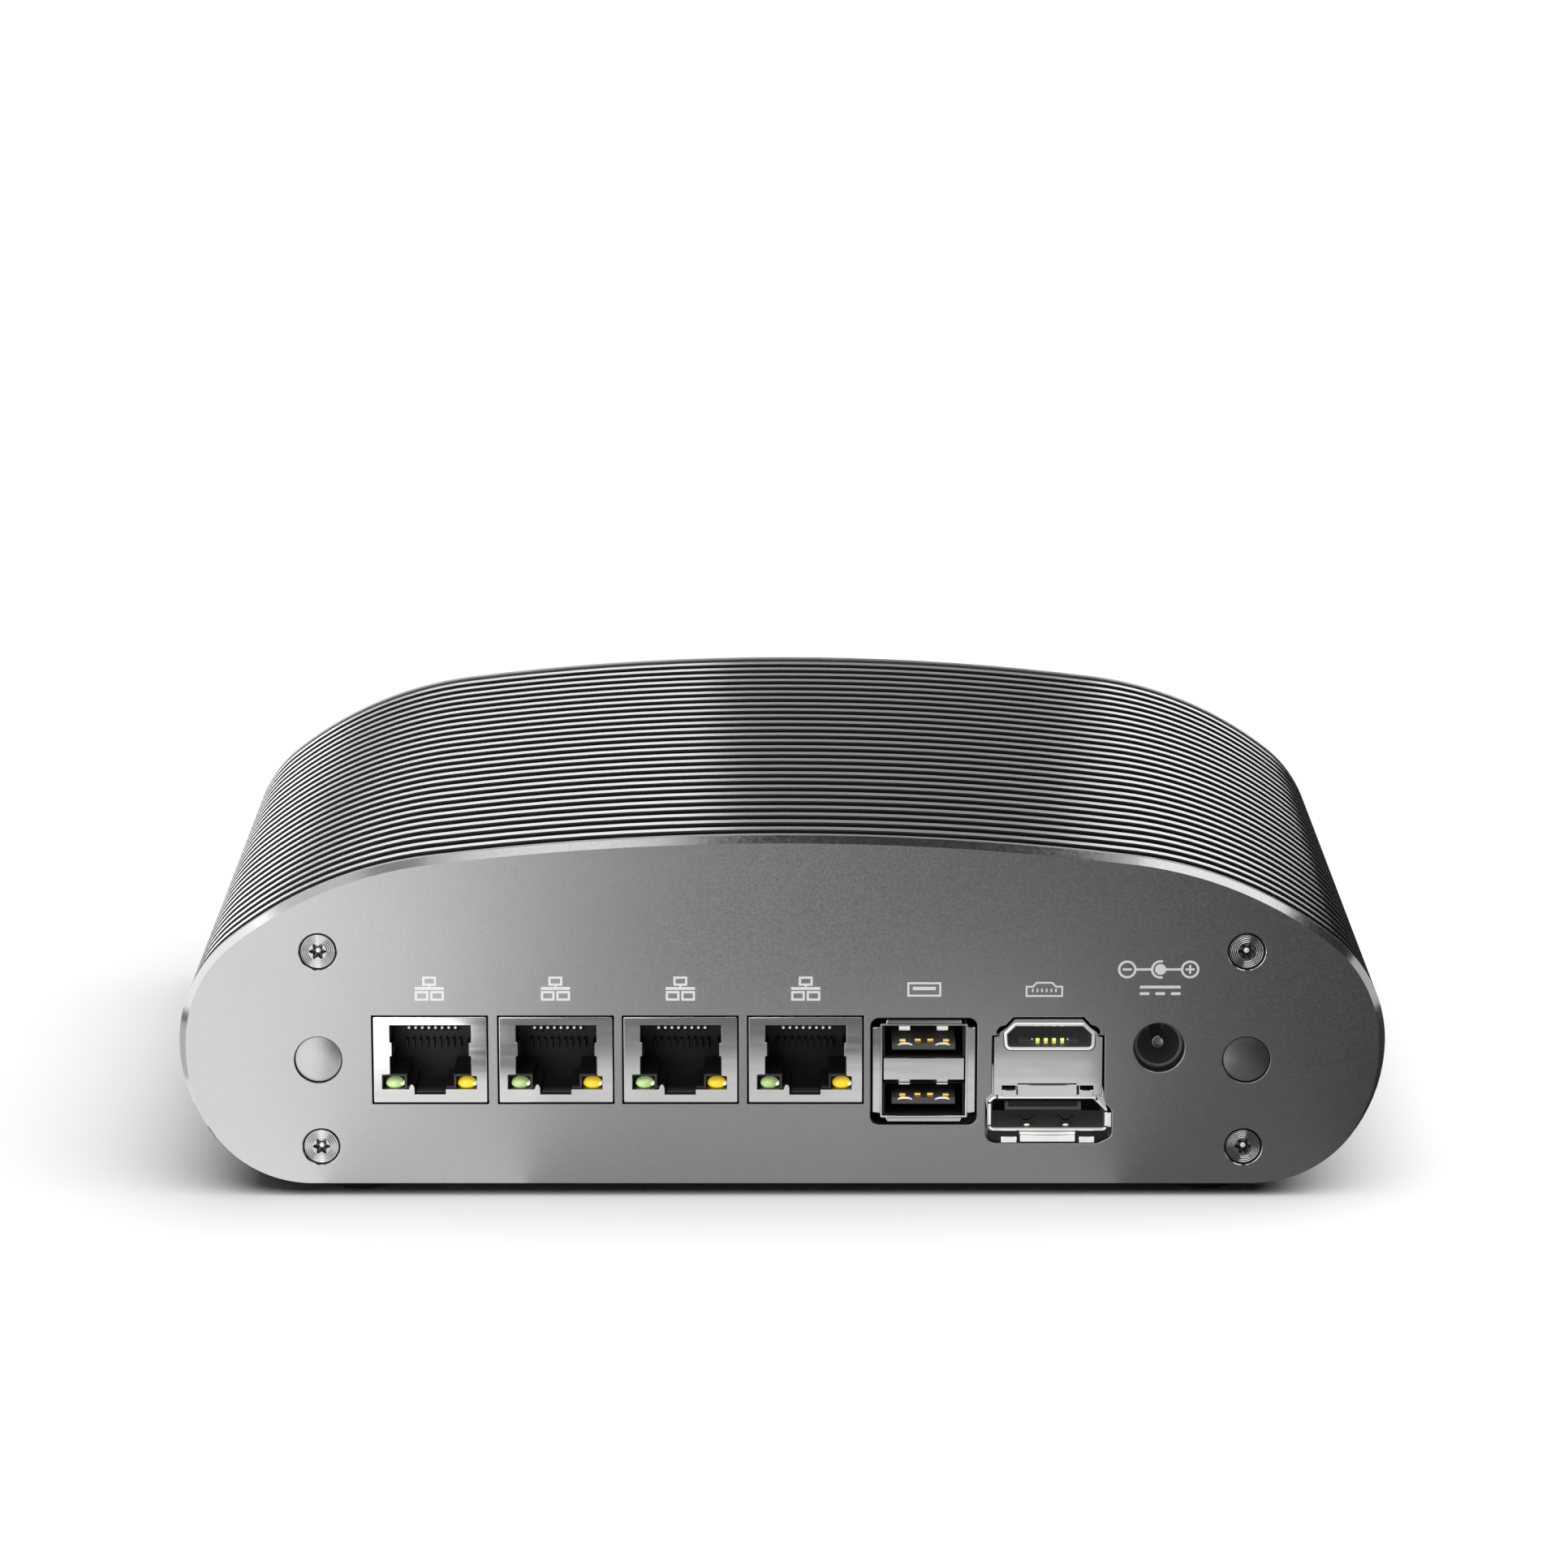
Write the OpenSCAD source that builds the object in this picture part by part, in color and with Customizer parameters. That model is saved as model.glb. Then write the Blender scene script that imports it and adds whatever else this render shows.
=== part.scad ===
// Fanless mini computer: an arched aluminium housing ringed with cooling fins and closed by
// two end panels. The main board hangs upside down under the roof, so its processor faces the
// fins and its sockets hang below it, behind the rear panel. Millimetres. +X is to the right
// when the sockets face the viewer, +Y runs from the sockets to the power button, +Z is up.
// The origin is on the table, under the middle of the body.

/* [Body] */
// Overall width across the flanks
body_w = 178; // [176:1:182]
// Overall depth, from the face with the sockets to the face with the button
body_d = 126; // [126:1:130]
// Overall height, feet included
body_h = 55; // [55:1:57]
// Radius of the almost flat roof
roof_r = 414; // [400:1:430]
// Radius of the shoulders beside the roof
shoulder_r = 59.3; // [58:0.1:60]
// Radius of the flank just below the widest point
flank_r = 24.4; // [24:0.1:25]
// Thickness of each end panel
panel_t = 2.2; // [2:0.1:2.5]
// Width and depth of the bevel round each end panel
panel_bevel = 1; // [0.5:0.1:1.2]
// Width of that bevel below the flanks, where it is narrower
panel_low_bevel = 0.35; // [0.3:0.05:0.5]
// Thickness of the tube wall under the fins
wall_t = 2.6; // [2.4:0.1:3]

/* [Fins] */
// Fins between the two end panels
fin_count = 27; // [21:1:27]
// Thickness of one fin
fin_t = 2.1; // [1.8:0.1:2.3]
// Depth of the grooves between the fins
fin_depth = 3; // [2:0.1:3.2]

/* [Underside] */
// Height of the rubber feet below the body
foot_h = 1.7; // [1.5:0.1:2]
// Radius of a rubber foot
foot_r = 5.5; // [5:0.1:6]
// Spacing of the four bracket holes in the bottom cover
bracket_pitch = 75; // [75:1:75]
// Radius of a bracket hole, the tapping size of an M4 thread
bracket_hole_r = 1.65; // [1.6:0.01:1.7]
// Size of the bottom cover along X
cover_w = 112; // [110:1:113]
// Size of the bottom cover along Y
cover_d = 100; // [98:1:102]
// Thickness of the bottom cover
cover_t = 2.5; // [2:0.1:2.8]

/* [Panel screws] */
// Distance of the panel screws from the middle plane
screw_x = 68.27; // [68:0.01:68.5]
// Height of the upper panel screws
screw_top_z = 37.6; // [37.3:0.1:37.8]
// Height of the lower panel screws
screw_low_z = 7.7; // [7.6:0.1:8]
// Radius of a countersunk head
screw_head_r = 2.65; // [2.5:0.05:2.7]
// Length of a panel screw
screw_len = 11; // [8:1:12]

/* [Sockets] */
// Middles of the network sockets along X
lan_x = [-51.98, -33.41, -15.02, 3.43];
// Width of a network socket
lan_w = 16.75; // [16.5:0.05:16.9]
// Bottom of the network sockets
lan_z0 = 14.5; // [14.3:0.1:14.7]
// Depth of a network socket behind the panel face
lan_depth = 21.3; // [20:0.1:23]
// Middle of the pair of USB sockets along X
usb_x = 20.9; // [20.8:0.05:21]
// Middle of the video sockets along X
video_x = 39.27; // [39.2:0.01:39.35]
// Middle of the power inlet along X
dc_x = 55.62; // [55.5:0.02:55.8]
// Height of the power inlet's axis
dc_z = 22.9; // [22.7:0.1:23.1]
// Radius of the power inlet's centre pin
dc_pin_r = 1; // [1:0.05:1.25]
// Distance of the aerial hole plugs from the middle plane
plug_x = 68.5; // [68.3:0.1:68.7]
// Height of the aerial hole plugs
plug_z = 21.05; // [21:0.05:21.3]
// Radius of an aerial hole plug
plug_r = 3.5; // [3.4:0.05:3.6]

/* [Power button] */
// Place of the power button along X
button_x = -52; // [-54:0.5:-50]
// Height of the power button's axis
button_z = 23.4; // [23:0.1:23.8]
// Radius of the power button's face
button_r = 5.9; // [5:0.1:6.2]

/* [Board] */
// Underside of the main board, which the sockets hang from
board_z = 27.6; // [27.6:0.1:27.6]
// Thickness of the main board
board_t = 1.6; // [1.4:0.1:1.8]
// Width of the main board
board_w = 144; // [143:1:146]

/* [Hidden] */
$fn = 48;

eps = 0.01;
gap = 0.1;                       // clearance of loose parts in their seats
slit = 0.25;                     // gap round the network sockets in the rear panel
face_y = -body_d / 2;            // outer face of the rear panel
end_y = body_d / 2 - panel_t;    // end faces of the housing are at -end_y and +end_y
cavity_inset = fin_depth + wall_t;

// The cross-section is symmetric. Its right half is five arcs that run from the middle of the
// roof to the flat bottom, each tangent to the next. turn is the angle from straight up at
// which each arc ends. The side and base radii and the height of the widest point follow from
// the width and the height.
turn = [0, 7.21, 38.44, 90, 126.77, 180];
steps = [4, 6, 8, 5, 7];
side_r = (body_w / 2 - roof_r * sin(turn[1]) - shoulder_r * (sin(turn[2]) - sin(turn[1])))
    / (1 - sin(turn[2]));
widest_z = body_h - roof_r * (1 - cos(turn[1])) - shoulder_r * (cos(turn[1]) - cos(turn[2]))
    - side_r * cos(turn[2]);
base_r = (widest_z - foot_h + flank_r * cos(turn[4])) / (1 + cos(turn[4]));
arc_r = [roof_r, shoulder_r, side_r, flank_r, base_r];
function arc_centre(i) = i == 3 ? [body_w / 2 - flank_r, widest_z]
    : i == 4 ? arc_centre(3) + (flank_r - base_r) * [sin(turn[4]), cos(turn[4])]
    : i == 2 ? [body_w / 2 - side_r, widest_z]
    : i == 1 ? arc_centre(2) - (shoulder_r - side_r) * [sin(turn[2]), cos(turn[2])]
    : arc_centre(1) - (roof_r - shoulder_r) * [sin(turn[1]), cos(turn[1])];
// The inset shrinks along the flank arc, and below it is smaller by less_below.
function half_outline(inset, less_below = 0) = [
    for (i = [0:4], k = [(i == 0 ? 0 : 1):steps[i]])
        let (a = turn[i] + (turn[i + 1] - turn[i]) * k / steps[i],
            share = i < 3 ? 0 : i > 3 ? 1 : k / steps[i])
        arc_centre(i) + (arc_r[i] - inset + less_below * share) * [sin(a), cos(a)]];
function left_half(right) = [
    for (i = [len(right) - 1:-1:1]) [-right[i][0], right[i][1]]];

board_top = board_z + board_t;
board_y0 = face_y + 2.5;
board_y1 = end_y - 3.8;
cover_z1 = foot_h + cover_t;
post_x = 68;                     // board posts and screws
post_y = 48;
post_r = 3.2;
boss_r = 3.6;                    // screw channels along the housing's corners
thread_r = 1.5;                  // M3 screws
tapped_r = 1.55;
drill_r = 1.6;
head_h = 1.5;                    // countersunk head
head_sunk = 0.15;                // depth of the panel screws' heads below the panel face
cover_screw_x = cover_w / 2 - 3;
cover_screw_y = cover_d / 2 - 3;
foot_x = 63;
foot_y = 54;
foot_sunk = 0.8;
cpu_y = -4;                      // the processor's middle is on the centre plane
pad_z0 = board_top + 1.6;        // top of the processor's die
spreader_z0 = pad_z0 + 0.5;
spreader_t = 6;
spreader_z1 = spreader_z0 + spreader_t;
spreader_half = [28, 23];        // half size of the copper block
spreader_screw = [23, 18];       // its screws, from its middle
socket_y = face_y + 0.1;         // front edges of the sockets' metal
lan_y1 = face_y + lan_depth;
button_face_y = body_d / 2 - 0.1;
flange_y0 = end_y - 1.4;
stem_y0 = flange_y0 - 1.2;
switch_y1 = board_y1 - 0.4;
led_x = [-36, -30];              // status lights beside the power button
memory_x = -14.5;
memory_y0 = -36;
ssd_x = 33;
ssd_y0 = -39;
ssd_len = 80;
module_z = board_z - 3.6;        // underside of the plugged-in boards
battery_at = [-30, 24];

module outline(inset, less_below = 0)
    let (right = half_outline(inset, less_below)) polygon(concat(right, left_half(right)));
// Extrudes a shape drawn in X and Z from y0 to y1
module along_y(y0, y1) translate([0, y1, 0]) rotate([90, 0, 0]) linear_extrude(y1 - y0) children();
// Extrudes a shape drawn in Y and Z from x0 to x1
module along_x(x0, x1) translate([x0, 0, 0]) rotate([90, 0, 90]) linear_extrude(x1 - x0) children();
module box(low, high) translate(low) cube(high - low);
module rod_y(x, z, r, y0, y1) translate([x, y0, z]) rotate([-90, 0, 0]) cylinder(r = r, h = y1 - y0);
module rod_z(x, y, r, z0, z1) translate([x, y, z0]) cylinder(r = r, h = z1 - z0);
module both_sides() {
    children();
    mirror([1, 0, 0]) children();
}
module four_corners(x, y) for (sx = [-1, 1], sy = [-1, 1]) translate([sx * x, sy * y, 0]) children();
// A rectangle with round corners, from corner low to corner high
module round_rect(low, high, r) {
    square_in(low + [r, 0], high - [r, 0]);
    square_in(low + [0, r], high - [0, r]);
    for (x = [low[0] + r, high[0] - r], y = [low[1] + r, high[1] - r]) translate([x, y]) circle(r);
}
module square_in(low, high) translate(low) square(high - low);

// Countersunk M3 screw with a six-lobe recess. Its head is flush with z = 0 and faces up.
module flat_screw(length) difference() {
    union() {
        translate([0, 0, -head_h]) cylinder(r1 = thread_r, r2 = screw_head_r, h = head_h);
        translate([0, 0, -length]) cylinder(r = thread_r, h = length - head_h / 2);
    }
    translate([0, 0, -1.1]) cylinder(r = 0.95, h = 2);
    for (a = [0:60:300]) rotate([0, 0, a]) translate([1.05, 0, -1.1]) cylinder(r = 0.32, h = 2, $fn = 24);
}
module flat_screw_hole(length) {
    translate([0, 0, -head_h - 0.15]) cylinder(r1 = drill_r, r2 = screw_head_r + 0.15, h = head_h + 0.15);
    translate([0, 0, -length]) cylinder(r = drill_r, h = length);
    cylinder(r = screw_head_r + 0.15, h = 1);
}
// Cheese head screw, head facing up with its underside on z = 0
module cheese_screw(length, head_r, r, head = 1.8) difference() {
    union() {
        cylinder(r = head_r, h = head);
        translate([0, 0, -length]) cylinder(r = r, h = length + eps);
    }
    translate([0, 0, head - 1]) cylinder(r = head_r * 0.5, h = 2, $fn = 6);
}
// Children at the four places of an end panel's screws, drawn in the face plane y = 0
module at_panel_screws() for (x = [-screw_x, screw_x], z = [screw_low_z, screw_top_z])
    translate([x, 0, z]) children();

module groove(y) along_y(y, y + fin_pitch() - fin_t) difference() {
    outline(-2);
    outline(fin_depth);
    translate([-body_w, 0]) square([2 * body_w, foot_h + 4.3]);
}
function fin_pitch() = (body_d - panel_t) / (fin_count + 1);

module housing() {
    color("#8b8d90") difference() {
        union() {
            difference() {
                along_y(-end_y, end_y) outline(0);
                along_y(-end_y - 1, end_y + 1) outline(cavity_inset);
            }
            both_sides() {
                rod_y(screw_x, screw_top_z, boss_r, -end_y, end_y);
                rod_y(screw_x, screw_low_z, boss_r, -end_y, end_y);
            }
            four_corners(post_x, post_y) rod_z(0, 0, post_r, board_top, body_h - 11);
            box([-32, cpu_y - 28, spreader_z1], [32, cpu_y + 28, body_h - cavity_inset + 0.6]);
        }
        for (k = [0:fin_count]) groove(face_y + (panel_t + fin_t) / 2 + fin_pitch() * k);
        for (y = [-end_y - 1, end_y - 13]) both_sides() {
            rod_y(screw_x, screw_top_z, tapped_r, y, y + 14);
            rod_y(screw_x, screw_low_z, tapped_r, y, y + 14);
        }
        four_corners(post_x, post_y) rod_z(0, 0, tapped_r, board_top - 1, board_top + 5.2);
        four_corners(spreader_screw[0], spreader_screw[1])
            rod_z(0, cpu_y, tapped_r, spreader_z1 - 1, spreader_z1 + 6);
        box([-cover_w / 2 - gap, -cover_d / 2 - gap, 0], [cover_w / 2 + gap, cover_d / 2 + gap, cover_z1]);
        box([-cover_w / 2 + 6, -cover_d / 2 + 6, 0], [cover_w / 2 - 6, cover_d / 2 - 6, 12]);
        four_corners(cover_screw_x, cover_screw_y) rod_z(0, 0, tapped_r, cover_z1 - 1, 12);
        four_corners(foot_x, foot_y) rod_z(0, 0, foot_r + gap, 0, foot_h + foot_sunk);
    }
}

// An end panel with its bevelled edge outwards, its outer face on y = 0 and its body towards +Y
module panel_blank() {
    along_y(panel_bevel, panel_t) outline(0);
    hull() {
        along_y(0, eps) outline(panel_bevel, panel_bevel - panel_low_bevel);
        along_y(panel_bevel, panel_bevel + eps) outline(0);
    }
}
module video_cutout() {
    polygon([[-8.3, 8.2], [-8.3, 24.8], [-7.6, 24.8], [-7.6, 25.6], [-6.45, 26.3], [-5.2, 27.6],
        [5.2, 27.6], [6.45, 26.3], [7.6, 25.6], [7.6, 24.8], [8.3, 24.8], [8.3, 8.2]]);
    round_rect([-9.3, 8.2], [8.3, 16], 2.2);
    polygon([[-1, 8.2], [-1, 16], [8.3, 14.6], [9.6, 13.2], [9.6, 10.4], [9, 8.8], [7.4, 8.2]]);
}
module rear_panel() {
    color("#8b8d90") difference() {
        translate([0, face_y, 0]) panel_blank();
        along_y(face_y - 1, -end_y + 1) {
            for (x = lan_x)
                square_in([x - lan_w / 2 - slit, lan_z0 - slit], [x + lan_w / 2 + slit, board_z + slit]);
            round_rect([usb_x - 7.88, 11.05], [usb_x + 7.88, 27.45], 1.3);
            translate([video_x, 0]) video_cutout();
        }
        rod_y(dc_x, dc_z, 3.75, face_y - 1, -end_y + 1);
        for (x = [-plug_x, plug_x]) rod_y(x, plug_z, plug_r + 0.05, face_y - 1, -end_y + 1);
        translate([0, face_y + head_sunk, 0]) at_panel_screws()
            rotate([90, 0, 0]) flat_screw_hole(panel_t + 1);
    }
}
module front_panel() {
    color("#8b8d90") difference() {
        translate([0, body_d / 2, 0]) mirror([0, 1, 0]) panel_blank();
        rod_y(button_x, button_z, button_r + 0.2, end_y - 1, body_d);
        for (x = led_x) rod_y(x, button_z, 1.1, end_y - 1, body_d);
        translate([0, body_d / 2 - head_sunk, 0]) at_panel_screws()
            rotate([-90, 0, 0]) flat_screw_hole(panel_t + 1);
    }
}
module rear_panel_screws() {
    color("#b9bbbd") translate([0, face_y + head_sunk, 0]) at_panel_screws()
        rotate([90, 0, 0]) flat_screw(screw_len);
}
module front_panel_screws() {
    color("#b9bbbd") translate([0, body_d / 2 - head_sunk, 0]) at_panel_screws()
        rotate([-90, 0, 0]) flat_screw(screw_len);
}
// Flush cover over the memory and the drive, with tapped bosses for a bracket
module bottom_cover() {
    color("#7d7f82") difference() {
        union() {
            box([-cover_w / 2, -cover_d / 2, foot_h], [cover_w / 2, cover_d / 2, cover_z1]);
            four_corners(bracket_pitch / 2, bracket_pitch / 2) rod_z(0, 0, 4, foot_h, cover_z1 + 4);
        }
        four_corners(bracket_pitch / 2, bracket_pitch / 2) rod_z(0, 0, bracket_hole_r, 0, cover_z1 + 5);
        four_corners(cover_screw_x, cover_screw_y)
            translate([0, 0, foot_h + 0.1]) rotate([180, 0, 0]) flat_screw_hole(cover_t + 1);
    }
}
module bottom_cover_screws() {
    color("#b9bbbd") four_corners(cover_screw_x, cover_screw_y)
        translate([0, 0, foot_h + 0.1]) rotate([180, 0, 0]) flat_screw(5);
}
module rubber_feet() {
    color("#1d1d1e") four_corners(foot_x, foot_y) {
        cylinder(r1 = foot_r - 0.5, r2 = foot_r, h = 0.5);
        rod_z(0, 0, foot_r, 0.5, foot_h + foot_sunk);
    }
}
// Blanking plug of an aerial hole: a disc in the panel with a wider flange behind it
module aerial_plug(x) {
    rod_y(x, plug_z, plug_r, face_y + 0.2, -end_y + 0.5);
    rod_y(x, plug_z, plug_r + 0.9, -end_y, -end_y + 1);
    rod_y(x, plug_z, plug_r - 0.9, -end_y, -end_y + 4);
}
module aerial_plug_left() color("#b4b6b8") aerial_plug(-plug_x);
module aerial_plug_right() color("#b4b6b8") aerial_plug(plug_x);

module main_board() {
    color("#1c3a2a") difference() {
        box([-board_w / 2, board_y0, board_z], [board_w / 2, board_y1, board_top]);
        four_corners(post_x, post_y) rod_z(0, 0, 1.7, board_z - 1, board_top + 1);
    }
}
module board_screws() {
    color("#b9bbbd") four_corners(post_x, post_y)
        translate([0, 0, board_z]) rotate([180, 0, 0]) cheese_screw(6, 2.75, thread_r);
}
module processor() {
    color("#2b5b3c") box([-15, cpu_y - 13.5, board_top], [15, cpu_y + 13.5, board_top + 1.1]);
    color("#53565c") box([-6, cpu_y - 4.5, board_top + 1.1 - eps], [6, cpu_y + 4.5, pad_z0]);
}
module thermal_pad() {
    color("#b7bcc6") box([-8, cpu_y - 6.5, pad_z0], [8, cpu_y + 6.5, spreader_z0]);
}
module heat_spreader() {
    color("#b87343") difference() {
        box([-spreader_half[0], cpu_y - spreader_half[1], spreader_z0],
            [spreader_half[0], cpu_y + spreader_half[1], spreader_z1]);
        four_corners(spreader_screw[0], spreader_screw[1]) {
            rod_z(0, cpu_y, drill_r, spreader_z0 - 1, spreader_z1 + 1);
            rod_z(0, cpu_y, 3, spreader_z0 - 1, spreader_z0 + 2.4);
        }
    }
}
module spreader_screws() {
    color("#b9bbbd") four_corners(spreader_screw[0], spreader_screw[1])
        translate([0, cpu_y, spreader_z0 + 2.4]) rotate([180, 0, 0]) cheese_screw(8.5, 2.75, thread_r);
}
module power_chokes() {
    color("#4a4a4d") for (k = [0:2]) translate([-38, cpu_y - 10 + 10 * k, board_top])
        box([-3.4, -3.4, 0], [3.4, 3.4, 3]);
}
module board_capacitors() {
    color("#c4c7cb") for (k = [0:3]) rod_z(38, cpu_y - 14 + 9 * k, 3.15, board_top, board_top + 6);
}
module lan_controllers() {
    color("#242426") for (x = lan_x) box([x - 3, -38, board_top], [x + 3, -32, board_top + 0.9]);
}
module firmware_chip() {
    color("#242426") box([50, 10, board_top], [55.2, 15.2, board_top + 1.7]);
}

// Edge socket for the memory board, with the two arms that hold the board flat
module memory_slot() {
    color("#2a2a2c") difference() {
        union() {
            box([memory_x - 36, memory_y0, board_z - 5.2], [memory_x + 36, memory_y0 + 6.5, board_z]);
            for (s = [-1, 1]) box([memory_x + s * 35 - 1, memory_y0, board_z - 4.4],
                [memory_x + s * 35 + 1, memory_y0 + 32, board_z]);
        }
        box([memory_x - 33.9, memory_y0 + 2.4, module_z - 0.02],
            [memory_x + 33.9, memory_y0 + 33, module_z + 1.02]);
    }
}
module memory_module() {
    color("#1f4a33") difference() {
        box([memory_x - 33.8, memory_y0 + 2.5, module_z],
            [memory_x + 33.8, memory_y0 + 32.5, module_z + 1]);
        box([memory_x + 5.2, memory_y0, module_z - 1], [memory_x + 6.8, memory_y0 + 6, module_z + 2]);
    }
}
module memory_chips() {
    color("#242426") for (k = [-1.5:1:1.5], z = [module_z - 0.9, module_z + 1])
        translate([memory_x + k * 15, memory_y0 + 20, z]) box([-5.5, -6, 0], [5.5, 6, 0.9]);
}
module ssd_slot() {
    color("#2a2a2c") difference() {
        box([ssd_x - 11, ssd_y0 - 4.6, module_z - 0.8], [ssd_x + 11, ssd_y0 + 4, board_z]);
        box([ssd_x - 11.1, ssd_y0 - 0.1, module_z - 0.02], [ssd_x + 11.1, ssd_y0 + 5, module_z + 0.82]);
    }
}
module ssd_board() {
    color("#20303f") difference() {
        box([ssd_x - 11, ssd_y0, module_z], [ssd_x + 11, ssd_y0 + ssd_len, module_z + 0.8]);
        rod_z(ssd_x, ssd_y0 + ssd_len, 1.75, module_z - 1, module_z + 2);
    }
}
module ssd_chips() {
    color("#242426") for (k = [0:2])
        translate([ssd_x, ssd_y0 + 22 + 20 * k, module_z - 1.2]) box([-7, -8, 0], [7, 8, 1.2]);
}
module ssd_standoff() {
    color("#c9a44a") difference() {
        rod_z(ssd_x, ssd_y0 + ssd_len, 2.6, module_z + 0.8, board_z);
        rod_z(ssd_x, ssd_y0 + ssd_len, 1.05, module_z, board_z - 0.4);
    }
}
module ssd_screw() {
    color("#b9bbbd") translate([ssd_x, ssd_y0 + ssd_len, module_z])
        rotate([180, 0, 0]) cheese_screw(3, 2.3, 1, 1.2);
}
module battery_holder() {
    color("#2a2a2c") translate([battery_at[0], battery_at[1], board_z - 4.4]) difference() {
        cylinder(r = 11.6, h = 4.4);
        translate([0, 0, -1]) cylinder(r = 10.05, h = 4.3);
    }
}
module backup_battery() {
    color("#c4c7cb") rod_z(battery_at[0], battery_at[1], 10, board_z - 4.3, board_z - 1.1);
}

// Front opening of a network socket, middle at x = 0: the plug's window, the latch's notch
// below it, and a window for a light on each side
module lan_window(grow) {
    square_in([-6 - grow, 18.6 - grow], [6 + grow, 26.3 + grow]);
    square_in([-7.15 - grow, 16.5 - grow], [6.85 + grow, 18.6 + grow]);
    square_in([-2.3 - grow, 15.7 - grow], [2.3 + grow, 17]);
}
module lan_shield(x) color("#c3c5c7") translate([x, 0, 0]) difference() {
    box([-lan_w / 2, socket_y, lan_z0], [lan_w / 2, lan_y1, board_z]);
    box([-lan_w / 2 + 0.3, socket_y + 0.3, lan_z0 + 0.3], [lan_w / 2 - 0.3, lan_y1 + 1, board_z + 1]);
    along_y(socket_y - 1, socket_y + 1) lan_window(0);
}
module lan_insert(x) color("#161617") translate([x, 0, 0]) difference() {
    box([-lan_w / 2 + 0.3, socket_y + 0.3, lan_z0 + 0.3], [lan_w / 2 - 0.3, lan_y1, board_z]);
    box([-5.9, socket_y - 1, 17.1], [5.9, socket_y + 14, 26.2]);
    box([-2.2, socket_y - 1, 15.8], [2.2, socket_y + 9, 18]);
    for (s = [-1, 1]) box([s * 5.4 - 1.5, socket_y - 1, 16.6], [s * 5.4 + 1.5, socket_y + 3, 18.5]);
}
module lan_contacts(x) color("#cfa64c") for (k = [-3.5:1:3.5])
    translate([x + 1.02 * k, 0, 0]) along_x(-0.22, 0.22) polygon([[socket_y + 0.9, 26.15],
        [socket_y + 0.9, 25.75], [socket_y + 11, 23.6], [socket_y + 11, 24], [socket_y + 4, 26.15]]);
module lan_shield_1() lan_shield(lan_x[0]);
module lan_shield_2() lan_shield(lan_x[1]);
module lan_shield_3() lan_shield(lan_x[2]);
module lan_shield_4() lan_shield(lan_x[3]);
module lan_insert_1() lan_insert(lan_x[0]);
module lan_insert_2() lan_insert(lan_x[1]);
module lan_insert_3() lan_insert(lan_x[2]);
module lan_insert_4() lan_insert(lan_x[3]);
module lan_contacts_1() lan_contacts(lan_x[0]);
module lan_contacts_2() lan_contacts(lan_x[1]);
module lan_contacts_3() lan_contacts(lan_x[2]);
module lan_contacts_4() lan_contacts(lan_x[3]);
module light_row(side) for (x = lan_x) rod_y(x + side * 5.4, 17.5, 0.85, socket_y + 0.6, socket_y + 3);
module link_leds() color("#9be08a") light_row(-1);
module activity_leds() color("#f2c230") light_row(1);

// Two stacked USB sockets in one metal shell, bent out into lips round its mouth
usb_low = [usb_x - 6.4, 12.2];   // outer corners of the shell
usb_high = [usb_x + 6.4, 26.5];
usb_wall = 0.3;
usb_band = [17.9, 21.3];         // bottom and top of the metal band between the sockets
usb_y1 = face_y + 17.5;
module usb_shell() color("#c3c5c7") {
    difference() {
        union() {
            along_y(socket_y, usb_y1) square_in(usb_low, usb_high);
            along_y(socket_y, socket_y + usb_wall) {
                square_in([usb_x - 7.65, 13], [usb_x + 7.65, 26]);
                square_in([usb_x - 5.55, 11.45], [usb_x + 5.55, 27.15]);
            }
        }
        along_y(socket_y - 1, usb_y1 - usb_wall) {
            square_in(usb_low + [usb_wall, usb_wall], [usb_high[0] - usb_wall, usb_band[0]]);
            square_in([usb_low[0] + usb_wall, usb_band[1]], usb_high - [usb_wall, usb_wall]);
        }
        along_y(socket_y + usb_wall, usb_y1 - usb_wall)
            square_in([usb_low[0] + usb_wall, usb_band[0] + usb_wall],
                [usb_high[0] - usb_wall, usb_band[1] - usb_wall]);
    }
    for (x = [usb_low[0] + 0.15, usb_high[0] - 0.15], y = [face_y + 5, face_y + 14])
        box([x - 0.15, y, usb_high[1] - eps], [x + 0.15, y + 2, board_z]);
}
usb_slots = [12.5, 21.3];        // floors of the two sockets
module usb_insert() color("#161617") {
    for (z = usb_slots) {
        box([usb_low[0] + usb_wall, usb_y1 - 4.5, z],
            [usb_high[0] - usb_wall, usb_y1 - usb_wall, z + 4.85]);
        box([usb_x - 4.7, socket_y + 1.3, z + 0.9], [usb_x + 4.7, usb_y1 - 4, z + 1.9]);
    }
}
module usb_contacts() color("#cfa64c") for (z = usb_slots, x = [-3.2, -0.9, 0.9, 3.2])
    box([usb_x + x - 0.5, socket_y + 2.4, z + 1.9], [usb_x + x + 0.5, usb_y1 - 6, z + 2.15]);

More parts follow.
